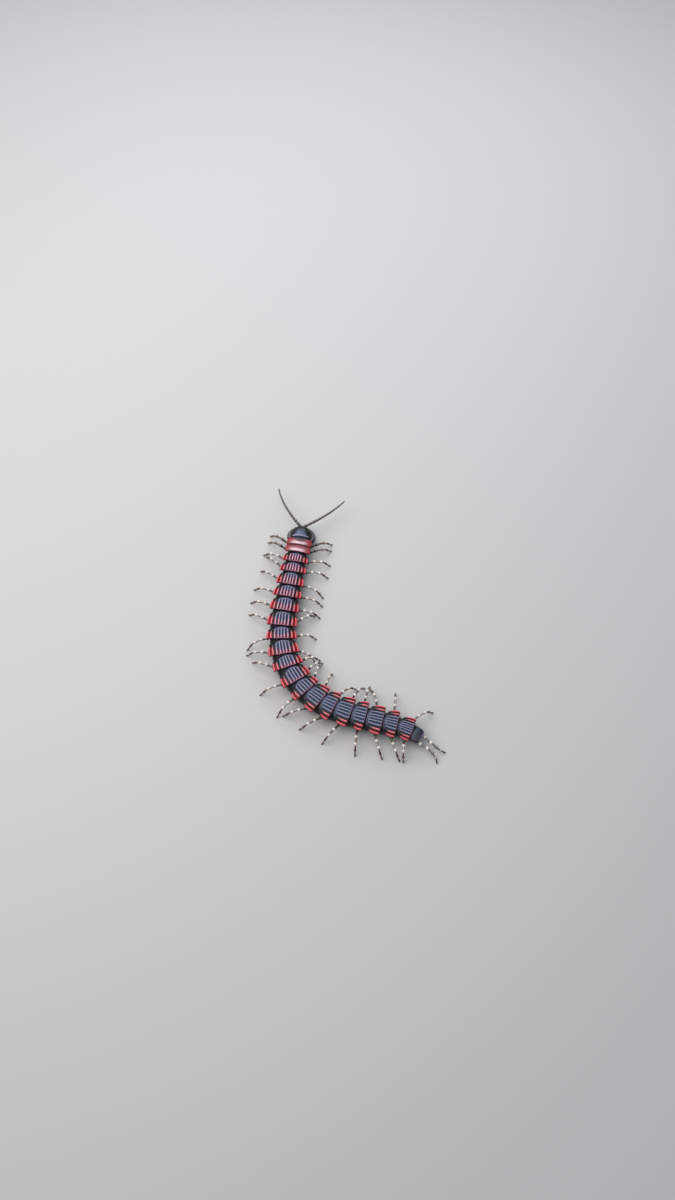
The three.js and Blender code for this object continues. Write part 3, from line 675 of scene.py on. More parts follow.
def lined_cuticle(name, deep, light, line, most, roughness, coat):
    """Dark clouded cuticle of a round form, with a painted pale highlight line on top."""
    material, tree, (upper,) = new_material(name, "upper")
    wear_and_highlight = add(tree, "ShaderNodeMapRange", [upper, *HIGHLIGHT_LINE, 0.0, most], **SMOOTH)
    tone = set_stops(add(tree, "ShaderNodeValToRGB", [grain(tree, 0.5)]), zip(CLOUDS, (deep, light)))
    whole = add(tree, "ShaderNodeMix", [wear_and_highlight, tone, line], **COLOURS)
    close_material(tree, whole, fine=0.13, depth=0.008, roughness=roughness, coat=coat, specular=0.35)
    return material


def clouded_cuticle(name, deep, light, size, roughness, coat):
    """Cuticle of one colour, clouded from deep to light in patches of that size."""
    material, tree, _ = new_material(name)
    tone = set_stops(add(tree, "ShaderNodeValToRGB", [grain(tree, size)]), zip(CLOUDS, (deep, light)))
    close_material(tree, tone, fine=size / 4, depth=0.008, roughness=roughness, coat=coat, specular=0.4)
    return material


KEELED = keeled_cuticle()
FRONT_PLATE = front_cuticle()
# On the last back plate the lighter band near the front is a painted highlight.
REAR_PLATE = smooth_cuticle("tanned_cuticle_slate", [
    (0.0, "10131c"), (0.22, "3c4a60"), (0.42, "1e2032"), (0.78, "231f33"), (0.93, "5f5a76"),
    (1.0, "8c86a2")], "5f5a76", roughness=0.4, coat=0.12)
HEAD_PLATE = head_cuticle()
BELLY_PLATE = smooth_cuticle("tanned_cuticle_amber_brown", [
    (0.0, "50352a"), (0.5, "6b4938"), (1.0, "57392c")], "3a2620", roughness=0.35, coat=0.3)
FLANK_PLATE = clouded_cuticle("tanned_cuticle_flank", "2a1d1a", "4a332a",
                              size=0.6, roughness=0.36, coat=0.25)
SOFT = soft_cuticle()
LEG = leg_cuticle()
ANTENNA_SKIN = antenna_cuticle()
HARD_BLACK = clouded_cuticle("hardened_cuticle_black", "070709", "131114",
                             size=0.8, roughness=0.36, coat=0.25)
# The pale line on top of the hips and of the poison claws is a painted highlight.
HIP_SKIN = lined_cuticle("tanned_cuticle_hip", "1b141b", "34262f", "9d8c9b",
                         most=0.7, roughness=0.36, coat=0.2)
CLAW_SKIN = lined_cuticle("hardened_cuticle_claw", "050506", "0d0b0d", "8f939c",
                          most=0.55, roughness=0.4, coat=0.12)
BRISTLE_SKIN = clouded_cuticle("bristle_brown", "5a4030", "8a6c50", size=0.6, roughness=0.45, coat=0.0)
LENS = clouded_cuticle("clear_cuticle_lens", "040406", "0a0a0e", size=0.3, roughness=0.06, coat=1.0)

# Geometry Nodes trees.

PLATE_SIZES = ("Half Width", "Front", "Rear", "Bow", "Corner", "Edge Height", "Arch", "Ridge Height",
               "Ridge Start", "Ridge Bow", "Thickness", "Redness", "Tone And Reflection")


def plate_plan(tree, given, across, side, along, outline):
    """The plan of a plate: a bowed front border, rounded rear corners, and sides after the
    outline."""
    squared = add(tree, "ShaderNodeMath", [side, 2.0], operation="POWER")
    corner = add(tree, "ShaderNodeMath", [side, CORNER_POWER], operation="POWER")
    front = add(tree, "ShaderNodeMath", [squared, given["Bow"], given["Front"]], operation="MULTIPLY_ADD")
    rear = add(tree, "ShaderNodeMath", [corner, given["Corner"], given["Rear"]], operation="MULTIPLY_ADD")
    back = add(tree, "ShaderNodeMapRange", {"Value": along, "To Min": front, "To Max": rear})
    forward = add(tree, "ShaderNodeMath", [back, -1.0], operation="MULTIPLY")
    width = draw_curve(add(tree, "ShaderNodeFloatCurve", {"Value": along}), outline)
    half = add(tree, "ShaderNodeMath", [width, given["Half Width"]], operation="MULTIPLY")
    return add(tree, "ShaderNodeMath", [across, half], operation="MULTIPLY"), forward


def plate_keels(tree, given, side, along, ridges):
    """The height of the keels, and how far a point lies behind the smooth front band, as shares.
    The middle keels end at an arched line across, and the side keels run on in front of it."""
    ridge = draw_curve(add(tree, "ShaderNodeFloatCurve", {"Value": side}), ridges)
    inner = add(tree, "ShaderNodeMath", [side, 0.5], operation="MINIMUM")
    inner = add(tree, "ShaderNodeMath", [inner, 2.0], operation="POWER")
    begin = add(tree, "ShaderNodeMath", [inner, given["Ridge Bow"], given["Ridge Start"]],
                operation="MULTIPLY_ADD")
    half_way = add(tree, "ShaderNodeMath", [begin, SWELL["before"]], operation="MULTIPLY")
    carved = add(tree, "ShaderNodeMath", [begin, SWELL["over"]], operation="ADD")
    behind = add(tree, "ShaderNodeMapRange", [along, half_way, begin], **SMOOTH)
    carve = add(tree, "ShaderNodeMapRange", [along, begin, carved], **SMOOTH)
    grown_up = add(tree, "ShaderNodeMapRange", {"Value": carve, "To Min": ARCH_LINE, "To Max": 1.0})
    outside = add(tree, "ShaderNodeMapRange", [side, *SIDE_KEELS], **SMOOTH)
    carve = add(tree, "ShaderNodeMath", [carve, outside], operation="MAXIMUM")
    groove = add(tree, "ShaderNodeMath", [1.0, ridge], operation="SUBTRACT")
    cut = add(tree, "ShaderNodeMath", [groove, carve], operation="MULTIPLY")
    crest = add(tree, "ShaderNodeMath", [1.0, cut], operation="SUBTRACT")
    for share in (grown_up, behind):
        crest = add(tree, "ShaderNodeMath", [crest, share], operation="MULTIPLY")
    return crest, behind


def plate_height(tree, given, side, along, upper, crest, profile):
    """The height of a plate: an arch from side to side, its level after the profile, the keels,
    worn down at the rear, and its thickness."""
    fall = add(tree, "ShaderNodeMath", [side, ARCH_POWER], operation="POWER")
    rise = add(tree, "ShaderNodeMath", [1.0, fall], operation="SUBTRACT")
    level = draw_curve(add(tree, "ShaderNodeFloatCurve", {"Value": along}), profile)
    rise = add(tree, "ShaderNodeMath", [rise, level], operation="MULTIPLY")
    top = add(tree, "ShaderNodeMath", [rise, given["Arch"], given["Edge Height"]], operation="MULTIPLY_ADD")
    wear_and_highlight = add(tree, "ShaderNodeMapRange", [along, SWELL["worn_from"], 1.0, 1.0, REAR_WEAR], **SMOOTH)
    raised = add(tree, "ShaderNodeMath", [crest, wear_and_highlight], operation="MULTIPLY")
    top = add(tree, "ShaderNodeMath", [raised, given["Ridge Height"], top], operation="MULTIPLY_ADD")
    down = add(tree, "ShaderNodeMath", [1.0, upper], operation="SUBTRACT")
    down = add(tree, "ShaderNodeMath", [down, given["Thickness"]], operation="MULTIPLY")
    return add(tree, "ShaderNodeMath", [top, down], operation="SUBTRACT")


def plate_tree(name, grid, outline, profile, material, ridges=((0, 1), (1, 1))):
    """A shell plate. Its outline and profile run from front to rear, and its ridges from the
    middle to a side, all as shares."""
    tree, given = new_tree(name, PLATE_SIZES)
    nx, ny, nz = grid
    shaped = add(tree, "GeometryNodeMeshCube",
                 {"Size": (1, 1, 1), "Vertices X": nx, "Vertices Y": ny, "Vertices Z": nz})
    place = add(tree, "ShaderNodeSeparateXYZ", [add(tree, "GeometryNodeInputPosition")]).outputs
    across = add(tree, "ShaderNodeMath", [place["X"], 2.0], operation="MULTIPLY")
    along = add(tree, "ShaderNodeMath", [0.5, place["Y"]], operation="SUBTRACT")
    upper = add(tree, "ShaderNodeMath", [place["Z"], 0.5], operation="ADD")
    side = add(tree, "ShaderNodeMath", [across], operation="ABSOLUTE")
    u, forward = plate_plan(tree, given, across, side, along, outline)
    crest, behind = plate_keels(tree, given, side, along, ridges)
    z = plate_height(tree, given, side, along, upper, crest, profile)
    moved = add(tree, "ShaderNodeCombineXYZ", [u, forward, z])
    for key, value in (("side", side), ("along", along), ("crest", crest), ("behind", behind),
                       ("redness", given["Redness"]), ("tone_and_reflection", given["Tone And Reflection"])):
        shaped = add(tree, "GeometryNodeStoreNamedAttribute",
                     {"Geometry": shaped, "Name": key, "Value": value}, data_type="FLOAT")
    shaped = add(tree, "GeometryNodeSetPosition", {"Geometry": shaped, "Position": moved})
    shaped = add(tree, "GeometryNodeSetShadeSmooth", [shaped])
    close_tree(tree, shaped, material)
    return tree


def limb_tree(name, material, sides, resolution):
    """Round limbs along every line of a mesh, as thick as its girth attribute says."""
    tree, given = new_tree(name, ("Thickness", "Tan"))
    girth = add(tree, "GeometryNodeInputNamedAttribute", {"Name": "girth"}, data_type="FLOAT")
    radius = add(tree, "ShaderNodeMath", [girth, given["Thickness"]], operation="MULTIPLY")
    line = add(tree, "GeometryNodeMeshToCurve", [given["Geometry"]])
    line = add(tree, "GeometryNodeCurveSplineType", [line], spline_type="CATMULL_ROM")
    line = add(tree, "GeometryNodeSetSplineResolution", {0: line, "Resolution": resolution})
    line = add(tree, "GeometryNodeSetCurveNormal", [line], mode="Z_UP")
    ring = add(tree, "GeometryNodeCurvePrimitiveCircle", {"Resolution": sides, "Radius": 1.0})
    tube = add(tree, "GeometryNodeCurveToMesh",
               {"Curve": line, "Profile Curve": ring.outputs["Curve"], "Scale": radius,
                "Fill Caps": True})
    facing = add(tree, "ShaderNodeSeparateXYZ", [add(tree, "GeometryNodeInputNormal")])
    upper = add(tree, "ShaderNodeMapRange", {"Value": facing.outputs["Z"], "From Min": -1.0})
    for key, value in (("upper", upper), ("tan", given["Tan"])):
        tube = add(tree, "GeometryNodeStoreNamedAttribute",
                   {"Geometry": tube, "Name": key, "Value": value}, data_type="FLOAT")
    tube = add(tree, "GeometryNodeSetShadeSmooth", [tube])
    close_tree(tree, tube, material)
    return tree


def shell_plate(name, tree, lengths, shares=()):
    """A plate from its lengths in millimetres and its other inputs."""
    inputs = {key: value * MM for key, value in lengths.items()}
    inputs.update(shares)
    return grown(name, tree, inputs)


# The back plates.

RIDGE = ((-1, 0.0), (-0.6, 0.45), (-0.28, 0.9), (0, 1.0), (0.28, 0.9), (0.6, 0.45), (1, 0.0))
RIM = (1.0, 0.2)


def ridge_curve(keels):
    """Rounded ridges from the middle of a plate to its side, from (place, half width) pairs."""
    curve = []
    for place, half in keels:
        for offset, height in RIDGE:
            at = place + offset * half
            if 0 <= at < 1:
                curve.append((at, height))
    return curve + [RIM]


BACK_OUTLINE = ((0, 0.84), (0.15, 0.89), (0.68, 1.0), (0.93, 1.0), (1, 0.96))
BACK_PROFILE = ((0, 0.73), (0.15, 0.9), (0.35, 1), (1, 1))
SMOOTH_OUTLINE = ((0, 0.93), (0.2, 0.97), (0.6, 1.0), (0.9, 1.0), (1, 0.97))
LAST_OUTLINE = ((0, 0.95), (0.3, 1.0), (0.62, 0.97), (0.85, 0.84), (0.95, 0.68), (1, 0.5))
LAST_PROFILE = ((0, 0.8), (0.3, 1), (0.75, 0.95), (1, 0.6))
PLATE_THICKNESS = 0.32
CORNER_CUT = -0.2
REDNESS = {3: 0.66, 4: 0.62, 5: 0.54, 6: 0.5, 7: 0.42, 8: 0.33, 9: 0.33, 10: 0.27, 11: 0.25, 12: 0.18,
           13: 0.1, 14: 0.06, 15: 0.04}
# Per plate, the strength of the painted slate reflection in front of the keels, and also of the duller
# crests and near-black red grooves near the tail and of the first plate's slate patch.
TONE_AND_REFLECTION = {1: 1.0, 10: 0.15, 11: 0.2, 12: 0.3, 13: 0.5, 14: 0.8, 15: 0.9, 16: 0.9, 17: 0.85, 18: 0.8, 19: 0.7,
         20: 0.7}

KEELED_TREE = plate_tree("keeled_back_plate", PLATE_GRID, BACK_OUTLINE, BACK_PROFILE, KEELED,
                         ridge_curve(KEELS))
FRONT_TREE = plate_tree("smooth_back_plate", SMALL_GRID, SMOOTH_OUTLINE, BACK_PROFILE, FRONT_PLATE)
LAST_TREE = plate_tree("last_back_plate", SMALL_GRID, LAST_OUTLINE, LAST_PROFILE, REAR_PLATE)


def back_plate(i):
    sizes = sizes_of(i)
    keeled = FIRST_KEELED <= i < SEGMENTS
    last = i == SEGMENTS
    tree = KEELED_TREE if keeled else LAST_TREE if last else FRONT_TREE
    front = PLATE_FRONT if keeled or last else SMOOTH_FRONT
    rear = sizes["length"] + PLATE_REAR
    bow = FRONT_BOW if keeled else SMOOTH_BOW
    narrow = LAST_PLATE["half"] / sizes["half"] if last else 1
    raised = LAST_PLATE["raised"] if last else 0
    made = shell_plate(f"back_plate_{i:02}", tree, {
        "Half Width": sizes["half"] * narrow,
        "Front": front,
        "Rear": rear,
        "Bow": bow * min(1, sizes["length"] / SHORT),
        "Corner": CORNER_CUT,
        "Edge Height": sizes["edge"] + raised,
        "Arch": LAST_PLATE["arch"] if last else sizes["arch"],
        "Ridge Height": KEEL_HEIGHT if keeled else 0.0,
        "Thickness": PLATE_THICKNESS,
    }, {
        "Ridge Start": KEEL_START / (rear - front),
        "Ridge Bow": KEEL_BOW / (rear - front),
        "Redness": REDNESS.get(i, 0.0),
        "Tone And Reflection": TONE_AND_REFLECTION.get(i, 0.0),
    })
    return finished(put(made, SEGMENT_PLACES[i]), "back_plates")


for i in range(1, SEGMENTS + 1):
    back_plate(i)

# The soft body under the plates, as one skin. Between the joints it follows the plates, and over
# the length "soft" round each joint it swells to a collar, folded across.

SKIN = {"rings": 34, "points": 44, "middle": 2.9, "least": 0.6, "powers": (2.6, 3.2), "wall": 0.735,
        "collar": 0.76, "under_plate": 0.5, "belly": 1.12, "fold": 0.07, "folds": 0.42, "soft": 1.4,
        "blend": 0.4, "turn": 0.3}
SKIN_START = {"raised": 0.1, "from": 0.6, "over": 1.2}
SKIN_END = {"from": 0.9, "to": 3.4, "share": 0.3, "sink": 0.6, "rise": 1.0}
# The solids that it takes the place of.
TRUNK_NODES = [f"trunk_{first:02}_{first + 1:02}" for first in range(1, 18, 2)] + ["trunk_19_21"]


def superellipse(half, top, bottom, middle, powers, count):
    """Points (u, z) of a rounded box, from the right side over the top."""
    points = []
    for k in range(count):
        turn = 2 * math.pi * k / count
        across, up = math.cos(turn), math.sin(turn)
        power = 2 / (powers[0] if up > 0 else powers[1])
        reach = top - middle if up > 0 else middle - bottom
        u = half * math.copysign(abs(across) ** power, across)
        z = middle + math.copysign(reach * abs(up) ** power, up)
        points.append((u, z))
    return points


def skin_ring(i, s):
    sizes = sizes_of(i)
    length = sizes["length"]
    near = min(s, length - s)
    other = sizes_of(min(SEGMENTS, max(1, i + (1 if s > length / 2 else -1))))
    share = 0.5 * (1 - min(1, near / (SKIN["blend"] * length)))
    half = mix(sizes["half"], other["half"], share)
    top = mix(sizes["edge"] + sizes["arch"], other["edge"] + other["arch"], share)
    soft = 1 - smooth(near / SKIN["soft"])
    fold = SKIN["fold"] * soft * math.cos(2 * math.pi * s / SKIN["folds"])
    drop = mix(SKIN["under_plate"], COLLAR_DROP, soft)
    half *= mix(SKIN["wall"], SKIN["collar"], soft)
    bottom = SKIN["belly"]
    end = smooth((s - SKIN_END["from"]) / (SKIN_END["to"] - SKIN_END["from"])) if i == SEGMENTS else 0
    half *= 1 - (1 - SKIN_END["share"]) * end
    top -= SKIN_END["sink"] * end
    bottom += SKIN_END["rise"] * end
    if i == 1:
        start = smooth((s - SKIN_START["from"]) / SKIN_START["over"])
        bottom = mix(HEAD_UNDER_Z + SKIN_START["raised"], bottom, start)
    middle = max(SKIN["middle"], bottom + SKIN["least"])
    points = superellipse(half + fold, top - drop + fold, bottom - fold, middle, SKIN["powers"],
                          SKIN["points"])
    joint = heading_in(i - 1 if s < length / 2 else i)
    turned = mix(heading_of(i), joint, 1 - min(1, near / (SKIN["turn"] * length)))
    centre = SEGMENT_PLACES[i] @ Vector((0, -s, 0))
    place = on_floor(centre.x, centre.y, turned)
    return [place @ Vector((u, 0, z)) for u, z in points]


def body_skin():
    rings = []
    for i in range(1, SEGMENTS + 1):
        length = SKIN_END["to"] if i == SEGMENTS else length_of(i)
        for k in range(SKIN["rings"]):
            rings.append(skin_ring(i, length * k / SKIN["rings"]))
    return finished(loft("body_skin", rings, SOFT), "back_plates", *TRUNK_NODES)


body_skin()

# The belly plates: the same kind of plate, turned over.

BELLY = {"Front": 0.75, "Bow": 0.25, "Corner": -0.25, "Edge Height": -1.12, "Arch": 0.2, "Thickness": 0.3}
BELLY_WIDTH = 0.5  # as a share of the back plate's
BELLY_SHORT = 0.55  # of the joint behind
BELLY_END = 0.4  # of the last one, behind the root of the last legs
BELLY_OUTLINE = ((0, 0.82), (0.2, 0.97), (0.45, 1.0), (0.85, 0.92), (1, 0.78))
BELLY_TREE = plate_tree("belly_plate", SMALL_GRID, BELLY_OUTLINE, ((0, 0.8), (0.2, 1), (0.8, 1), (1, 0.8)),
                        BELLY_PLATE)
TURNED_OVER = Matrix.Rotation(math.pi, 4, "Y")


def belly_plate(i):
    sizes = sizes_of(i)
    rear = sizes["length"] - BELLY_SHORT
    if i == SEGMENTS:
        rear = min(rear, LAST_LEG_ROOT["s"] + BELLY_END)
    lengths = {**BELLY, "Half Width": sizes["half"] * BELLY_WIDTH, "Rear": rear}
    made = shell_plate(f"belly_plate_{i:02}", BELLY_TREE, lengths)
    return finished(put(made, SEGMENT_PLACES[i] @ TURNED_OVER), "back_plates")


for i in range(2, SEGMENTS + 1):
    belly_plate(i)

# The flanks: small plates round the root of each leg, and breathing holes on nine segments.

FLANK = {"seed": 7, "uneven": 0.12, "out": 0.02, "wall": 0.722, "segments": 12, "rings": 6}
FLANK_PLATES = (
    {"s": 0.0, "z": 2.45, "long": 1.0, "high": 0.82, "thick": 0.2},
    {"s": -1.25, "z": 3.15, "long": 0.5, "high": 0.6, "thick": 0.14},
    {"s": 1.2, "z": 3.05, "long": 0.42, "high": 0.62, "thick": 0.14},
    {"s": 0.1, "z": 3.65, "long": 0.8, "high": 0.3, "thick": 0.12},
)
HOLE = {"s": -0.35, "z": 4.05, "long": 0.36, "high": 0.2, "thick": 0.12}
HOLED = (3, 5, 8, 10, 12, 14, 16, 18, 20)


def scatter_tree(name, material):
    """A flat, rounded plate on every point, turned with its segment and a little uneven."""
    tree, given = new_tree(name, ("Unevenness", "Seed"))
    turn, *size = [add(tree, "GeometryNodeInputNamedAttribute", {"Name": key}, data_type="FLOAT")
                   for key in ("turn", "thick", "long", "high")]
    most = add(tree, "ShaderNodeMath", [1.0, given["Unevenness"]], operation="ADD")
    least = add(tree, "ShaderNodeMath", [1.0, given["Unevenness"]], operation="SUBTRACT")
    uneven = add(tree, "FunctionNodeRandomValue", {"Min": least, "Max": most, "Seed": given["Seed"]},
                 data_type="FLOAT")
    shape = add(tree, "ShaderNodeCombineXYZ", size)
    shape = add(tree, "ShaderNodeVectorMath", [shape, uneven], operation="SCALE")
    pebble = add(tree, "GeometryNodeMeshUVSphere",
                 {"Segments": FLANK["segments"], "Rings": FLANK["rings"], "Radius": MM})
    pebble = add(tree, "GeometryNodeSetShadeSmooth", [pebble])
    placed = add(tree, "GeometryNodeInstanceOnPoints", {
        "Points": given["Geometry"], "Instance": pebble, "Scale": shape,
        "Rotation": add(tree, "ShaderNodeCombineXYZ", {"Z": turn})})
    close_tree(tree, placed, material)
    return tree


def root_of(i):
    """The share of a segment's length at which its legs stand."""
    return LEG_ROOT["first_at"] if i == 1 else LEG_ROOT["at"]


def scattered(name, tree, plates):
    """One piece with every plate of (segment, side, sizes)."""
    points, turns = [], []
    for i, mirror, plate in plates:
        s = root_of(i) * length_of(i) + plate["s"]
        u = half_width_of(i) * FLANK["wall"] + FLANK["out"]
        points.append(SEGMENT_PLACES[i] @ Vector((mirror * u, -s, plate["z"])))
        turns.append(math.radians(heading_of(i)))
    sizes = {key: [plate[key] for *_, plate in plates] for key in ("thick", "long", "high")}
    base = mesh_object(name, points, turn=turns, **sizes)
    return finished(grown(name, tree, {"Unevenness": FLANK["uneven"], "Seed": FLANK["seed"]}, base),
                    "back_plates")


FLANK_TREE = scatter_tree("flank_plates", FLANK_PLATE)
HOLE_TREE = scatter_tree("breathing_holes", HARD_BLACK)
scattered("flank_plates", FLANK_TREE,
          [(i, mirror, plate) for i in range(1, SEGMENTS) for _, mirror in SIDES for plate in FLANK_PLATES])
scattered("breathing_holes", HOLE_TREE, [(i, mirror, HOLE) for i in HOLED for _, mirror in SIDES])

# Limbs. An article swells at both ends, is thinner in between, and is nipped at the joints.

LEG_ARTICLE = ((0.0, 0.5), (0.1, 0.54), (0.34, 0.55), (0.6, 0.68), (0.84, 0.98), (0.96, 0.96))
LEG_TONES = (
    (0.0, 0.0, 0.0, 0.0, 0.05, 0.1),
    (0.1, 0.0, 0.0, 0.15, 0.45, 0.5),
    (0.3, 0.0, 0.0, 0.15, 0.45, 0.5),
    (0.52, 0.68, 0.72, 0.74, 0.75, 0.7),
    (0.7, 0.76, 0.8, 0.84, 0.88, 0.9),
    (0.92, 0.95, 1.0, 1.0, 1.0, 1.0),
)
CLAW = {"root": 0.75, "tip": 0.5, "end": 0.3}  # girths of the last article, which has no knob
LEG_TREE = limb_tree("walking_leg", LEG, 14, 3)
ROOT_INSIDE = {"by": 1.0, "raised": 0.1}  # where a leg's line begins, inside the body
DULL = {"legs": 2, "share": 0.4, "up_to": 0.5}  # the first pairs, whose joints are hardly pale
DULL_TONES = [[tone * DULL["share"] if tone <= DULL["up_to"] else tone for tone in row]
              for row in LEG_TONES]
# On these legs, by that share, the painted highlight stripe on top is brown instead of pale grey.
DARK_LEGS = {1: 1.0, 2: 0.8, 14: 0.4, 15: 0.8, 16: 1.0, 17: 0.9, 18: 0.5, 19: 0.3}


def threaded(name, tree, points, girths, shades, tan=0.0):
    """A round form along a line of points in millimetres."""
    edges = [(k, k + 1) for k in range(len(points) - 1)]
    line = mesh_object(name, points, edges=edges, girth=girths, tone=shades)
    return grown(name, tree, {"Thickness": MM, "Tan": tan}, line)


def horn(name, tree, rows, mirror, i, slot, *nodes):
    """A round piece of one tone, through (across, forward, up, radius) rows from segment i."""
    points = [(mirror * u, y, z) for u, y, z, _ in rows]
    girths = [radius for *_, radius in rows]
    made = threaded(name, tree, points, girths, [0.0] * len(rows))
    return finished(put(made, SEGMENT_PLACES[i]), slot, *nodes)


def limb(name, tree, joints, articles, tones, tan=0.0):
    """A limb from joints (point, radius), with its girth and tone along each article."""
    points, girths, shades = [], [], []
    for k in range(1, len(joints)):
        (start, thick), (end, thin) = joints[k - 1], joints[k]
        for (share, girth), shade in zip(articles, tones[min(k, len(tones)) - 1]):
            if k == len(joints) - 1:
                girth = mix(CLAW["root"], CLAW["tip"], share)
            points.append(start.lerp(end, share))
            girths.append(mix(thick, thin, share) * girth)
            shades.append(shade)
    points.append(joints[-1][0])
    girths.append(joints[-1][1] * CLAW["end"])
    shades.append(tones[-1][-1])
    return threaded(name, tree, points, girths, shades, tan)


def walking_leg(i, side, mirror, swing):
    sizes = sizes_of(i)
    wall = sizes["half"] * WALL_SHARE + GAP
    lean = LEG_ROOT["pivot"] * math.tan(math.radians(swing * LEG_JOINTS[0][4]))
    inner = mirror * (heading_of(i + 0.5) - heading_of(i - 0.5))
    fold = INNER_FOLD * max(0, inner)
    at = Vector((mirror * wall, lean - root_of(i) * sizes["length"], LEG_ROOT["z"]))
    inside = at - Vector((mirror * ROOT_INSIDE["by"], 0, -ROOT_INSIDE["raised"]))
    joints = [(inside, LEG_ROOT["radius"])]
    for reach, z, lift, radius, share in LEG_JOINTS:
        turn = math.radians(swing * share)
        out = reach * (1 - fold)
        at = Vector((at.x + mirror * out * math.cos(turn), at.y + out * math.sin(turn),
                     z + lift * fold * FOLD_LIFT))
        joints.append((at, radius))
    tones = DULL_TONES if i <= DULL["legs"] else LEG_TONES
    made = limb(f"walking_leg_{side}_{i:02}", LEG_TREE, joints, LEG_ARTICLE, tones, DARK_LEGS.get(i, 0.0))
    return finished(stood(put(made, SEGMENT_PLACES[i])), "legs", f"leg_{side}_{i:02}")


LAST_TONES = (
    (0.0, 0.0, 0.0, 0.1, 0.4, 0.5),
    (0.3, 0.0, 0.0, 0.15, 0.45, 0.5),
    (0.3, 0.0, 0.0, 0.0, 0.0, 0.1),
    (0.1, 0.1, 0.1, 0.1, 0.62, 0.8),
    (0.8, 0.85, 0.88, 0.9, 0.92, 0.95),
    (0.95, 1.0, 1.0, 1.0, 1.0, 1.0),
)


def last_leg(side, mirror):
    root = LAST_LEG_ROOT
    at = Vector((mirror * root["u"], -(root["s"] + GAP), root["z"]))
    joints = [(at + Vector(root["inside"]), root["radius"] * root["swell"])]
    for (reach, z, radius), turn in zip(LAST_LEG_JOINTS, LAST_LEG_TURNS[side]):
        turn = math.radians(turn)
        at = Vector((at.x + mirror * reach * math.sin(turn), at.y - reach * math.cos(turn), z))
        joints.append((at, radius))
    before, end = joints[-2][0], joints[-1][0]
    tip = end + (end - before).normalized() * LAST_CLAW["length"]
    tip.z = end.z - LAST_CLAW["drop"]
    joints.append((tip, LAST_CLAW["radius"]))
    made = limb(f"last_leg_{side}", LEG_TREE, joints, LEG_ARTICLE, LAST_TONES, LAST_CLAW["tan"])
    return finished(stood(put(made, SEGMENT_PLACES[SEGMENTS])), "legs", f"leg_{side}_{SEGMENTS}")


# The sides of the last segment, which carry the last legs.
HIP = ((1.8, -0.3, 3.0, 0.75), (1.95, -1.0, 3.0, 0.85), (1.85, -2.0, 2.85, 0.85),
       (1.65, -2.9, 2.5, 0.76), (1.5, -3.3, 2.3, 0.66))
HIP_TREE = limb_tree("hip", HIP_SKIN, 28, 5)

LEGS = []
for i in range(1, SEGMENTS):
    LEGS.append(walking_leg(i, "left", -1, SWING_LEFT[i - 1]))
    LEGS.append(walking_leg(i, "right", 1, SWING_RIGHT[i - 1]))
for side, mirror in SIDES:
    horn(f"hip_{side}", HIP_TREE, HIP, mirror, SEGMENTS, "legs")
    LEGS.append(last_leg(side, mirror))

# The antennae.

ANTENNA_ARTICLE = ((0.0, 0.72), (0.2, 0.95), (0.6, 1.0), (0.88, 0.9))
ANTENNA_TONES = ((0.9, 0.3, 0.0, 0.3),)
ANTENNA_TREE = limb_tree("antenna", ANTENNA_SKIN, 14, 3)


def antenna(side, mirror):
    count = ANTENNA["articles"]
    yaw, pitch = ANTENNA_AIM[side]["yaw"], ANTENNA_AIM[side]["pitch"]
    at = Vector(ANTENNA_ROOT)
    at.x *= mirror
    joints = [(at, ANTENNA["base"])]
    shares = [mix(*ARTICLE_SHARES, k / (count - 1)) for k in range(count)]
    for k, share in enumerate(shares):
        t = k / (count - 1)
        turn = math.radians(mix(*yaw, t))
        rise = math.radians(mix(*pitch, t))
        flat = math.cos(rise)
        along = Vector((mirror * math.sin(turn) * flat, math.cos(turn) * flat, math.sin(rise)))
        at = at + along * ANTENNA["length"] * share / sum(shares)
        joints.append((at, mix(ANTENNA["base"], ANTENNA["tip"], t)))
    inside = joints[0][0] - (joints[1][0] - joints[0][0]) * ANTENNA["inside"]
    joints[0] = (inside, ANTENNA["base"])
    made = limb(f"ringed_antenna_{side}", ANTENNA_TREE, joints, ANTENNA_ARTICLE, ANTENNA_TONES)
    return finished(put(made, SEGMENT_PLACES[0]), "antennae", f"antenna_{side}")


# The head: a polished shield over a capsule, four simple eyes on each side, and the poison claws.

HEAD_OUTLINE = ((0, 0.12), (0.04, 0.3), (0.1, 0.46), (0.22, 0.67), (0.32, 0.82), (0.44, 0.93),
                (0.6, 1), (0.8, 1), (0.93, 0.94), (1, 0.82))
HEAD_PROFILE = ((0, 0.15), (0.1, 0.45), (0.25, 0.75), (0.45, 0.95), (0.6, 1), (0.85, 0.97), (1, 0.6))
HEAD_TREE = plate_tree("head_shield", SMALL_GRID, HEAD_OUTLINE, HEAD_PROFILE, HEAD_PLATE)
CAPSULE = (
    (0.1, 0.6, 0.55), (0.7, 0.78, 0.8), (1.6, 0.86, 0.86), (2.8, 0.84, 0.84), (3.8, 0.74, 0.72),
    (4.6, 0.55, 0.52), (5.1, 0.36, 0.3), (5.3, 0.2, 0.12),
)
CAPSULE_RING = {"under_shield": 0.35, "middle": 3.7, "powers": (2.2, 3.0), "points": 40}


def head_shield():
    made = shell_plate("head_shield", HEAD_TREE, HEAD_SHIELD)
    return finished(put(made, SEGMENT_PLACES[0]), "head")


def head_capsule():
    rings = []
    for y, share, rise in CAPSULE:
        top = mix(HEAD_EDGE_Z, HEAD_TOP_Z, rise) - CAPSULE_RING["under_shield"]
        points = superellipse(HEAD_HALF * share, top, HEAD_UNDER_Z, CAPSULE_RING["middle"],
                              CAPSULE_RING["powers"], CAPSULE_RING["points"])
        rings.append([SEGMENT_PLACES[0] @ Vector((u, y, z)) for u, z in points])
    return finished(loft("head_capsule", rings, HARD_BLACK), "head", "head")


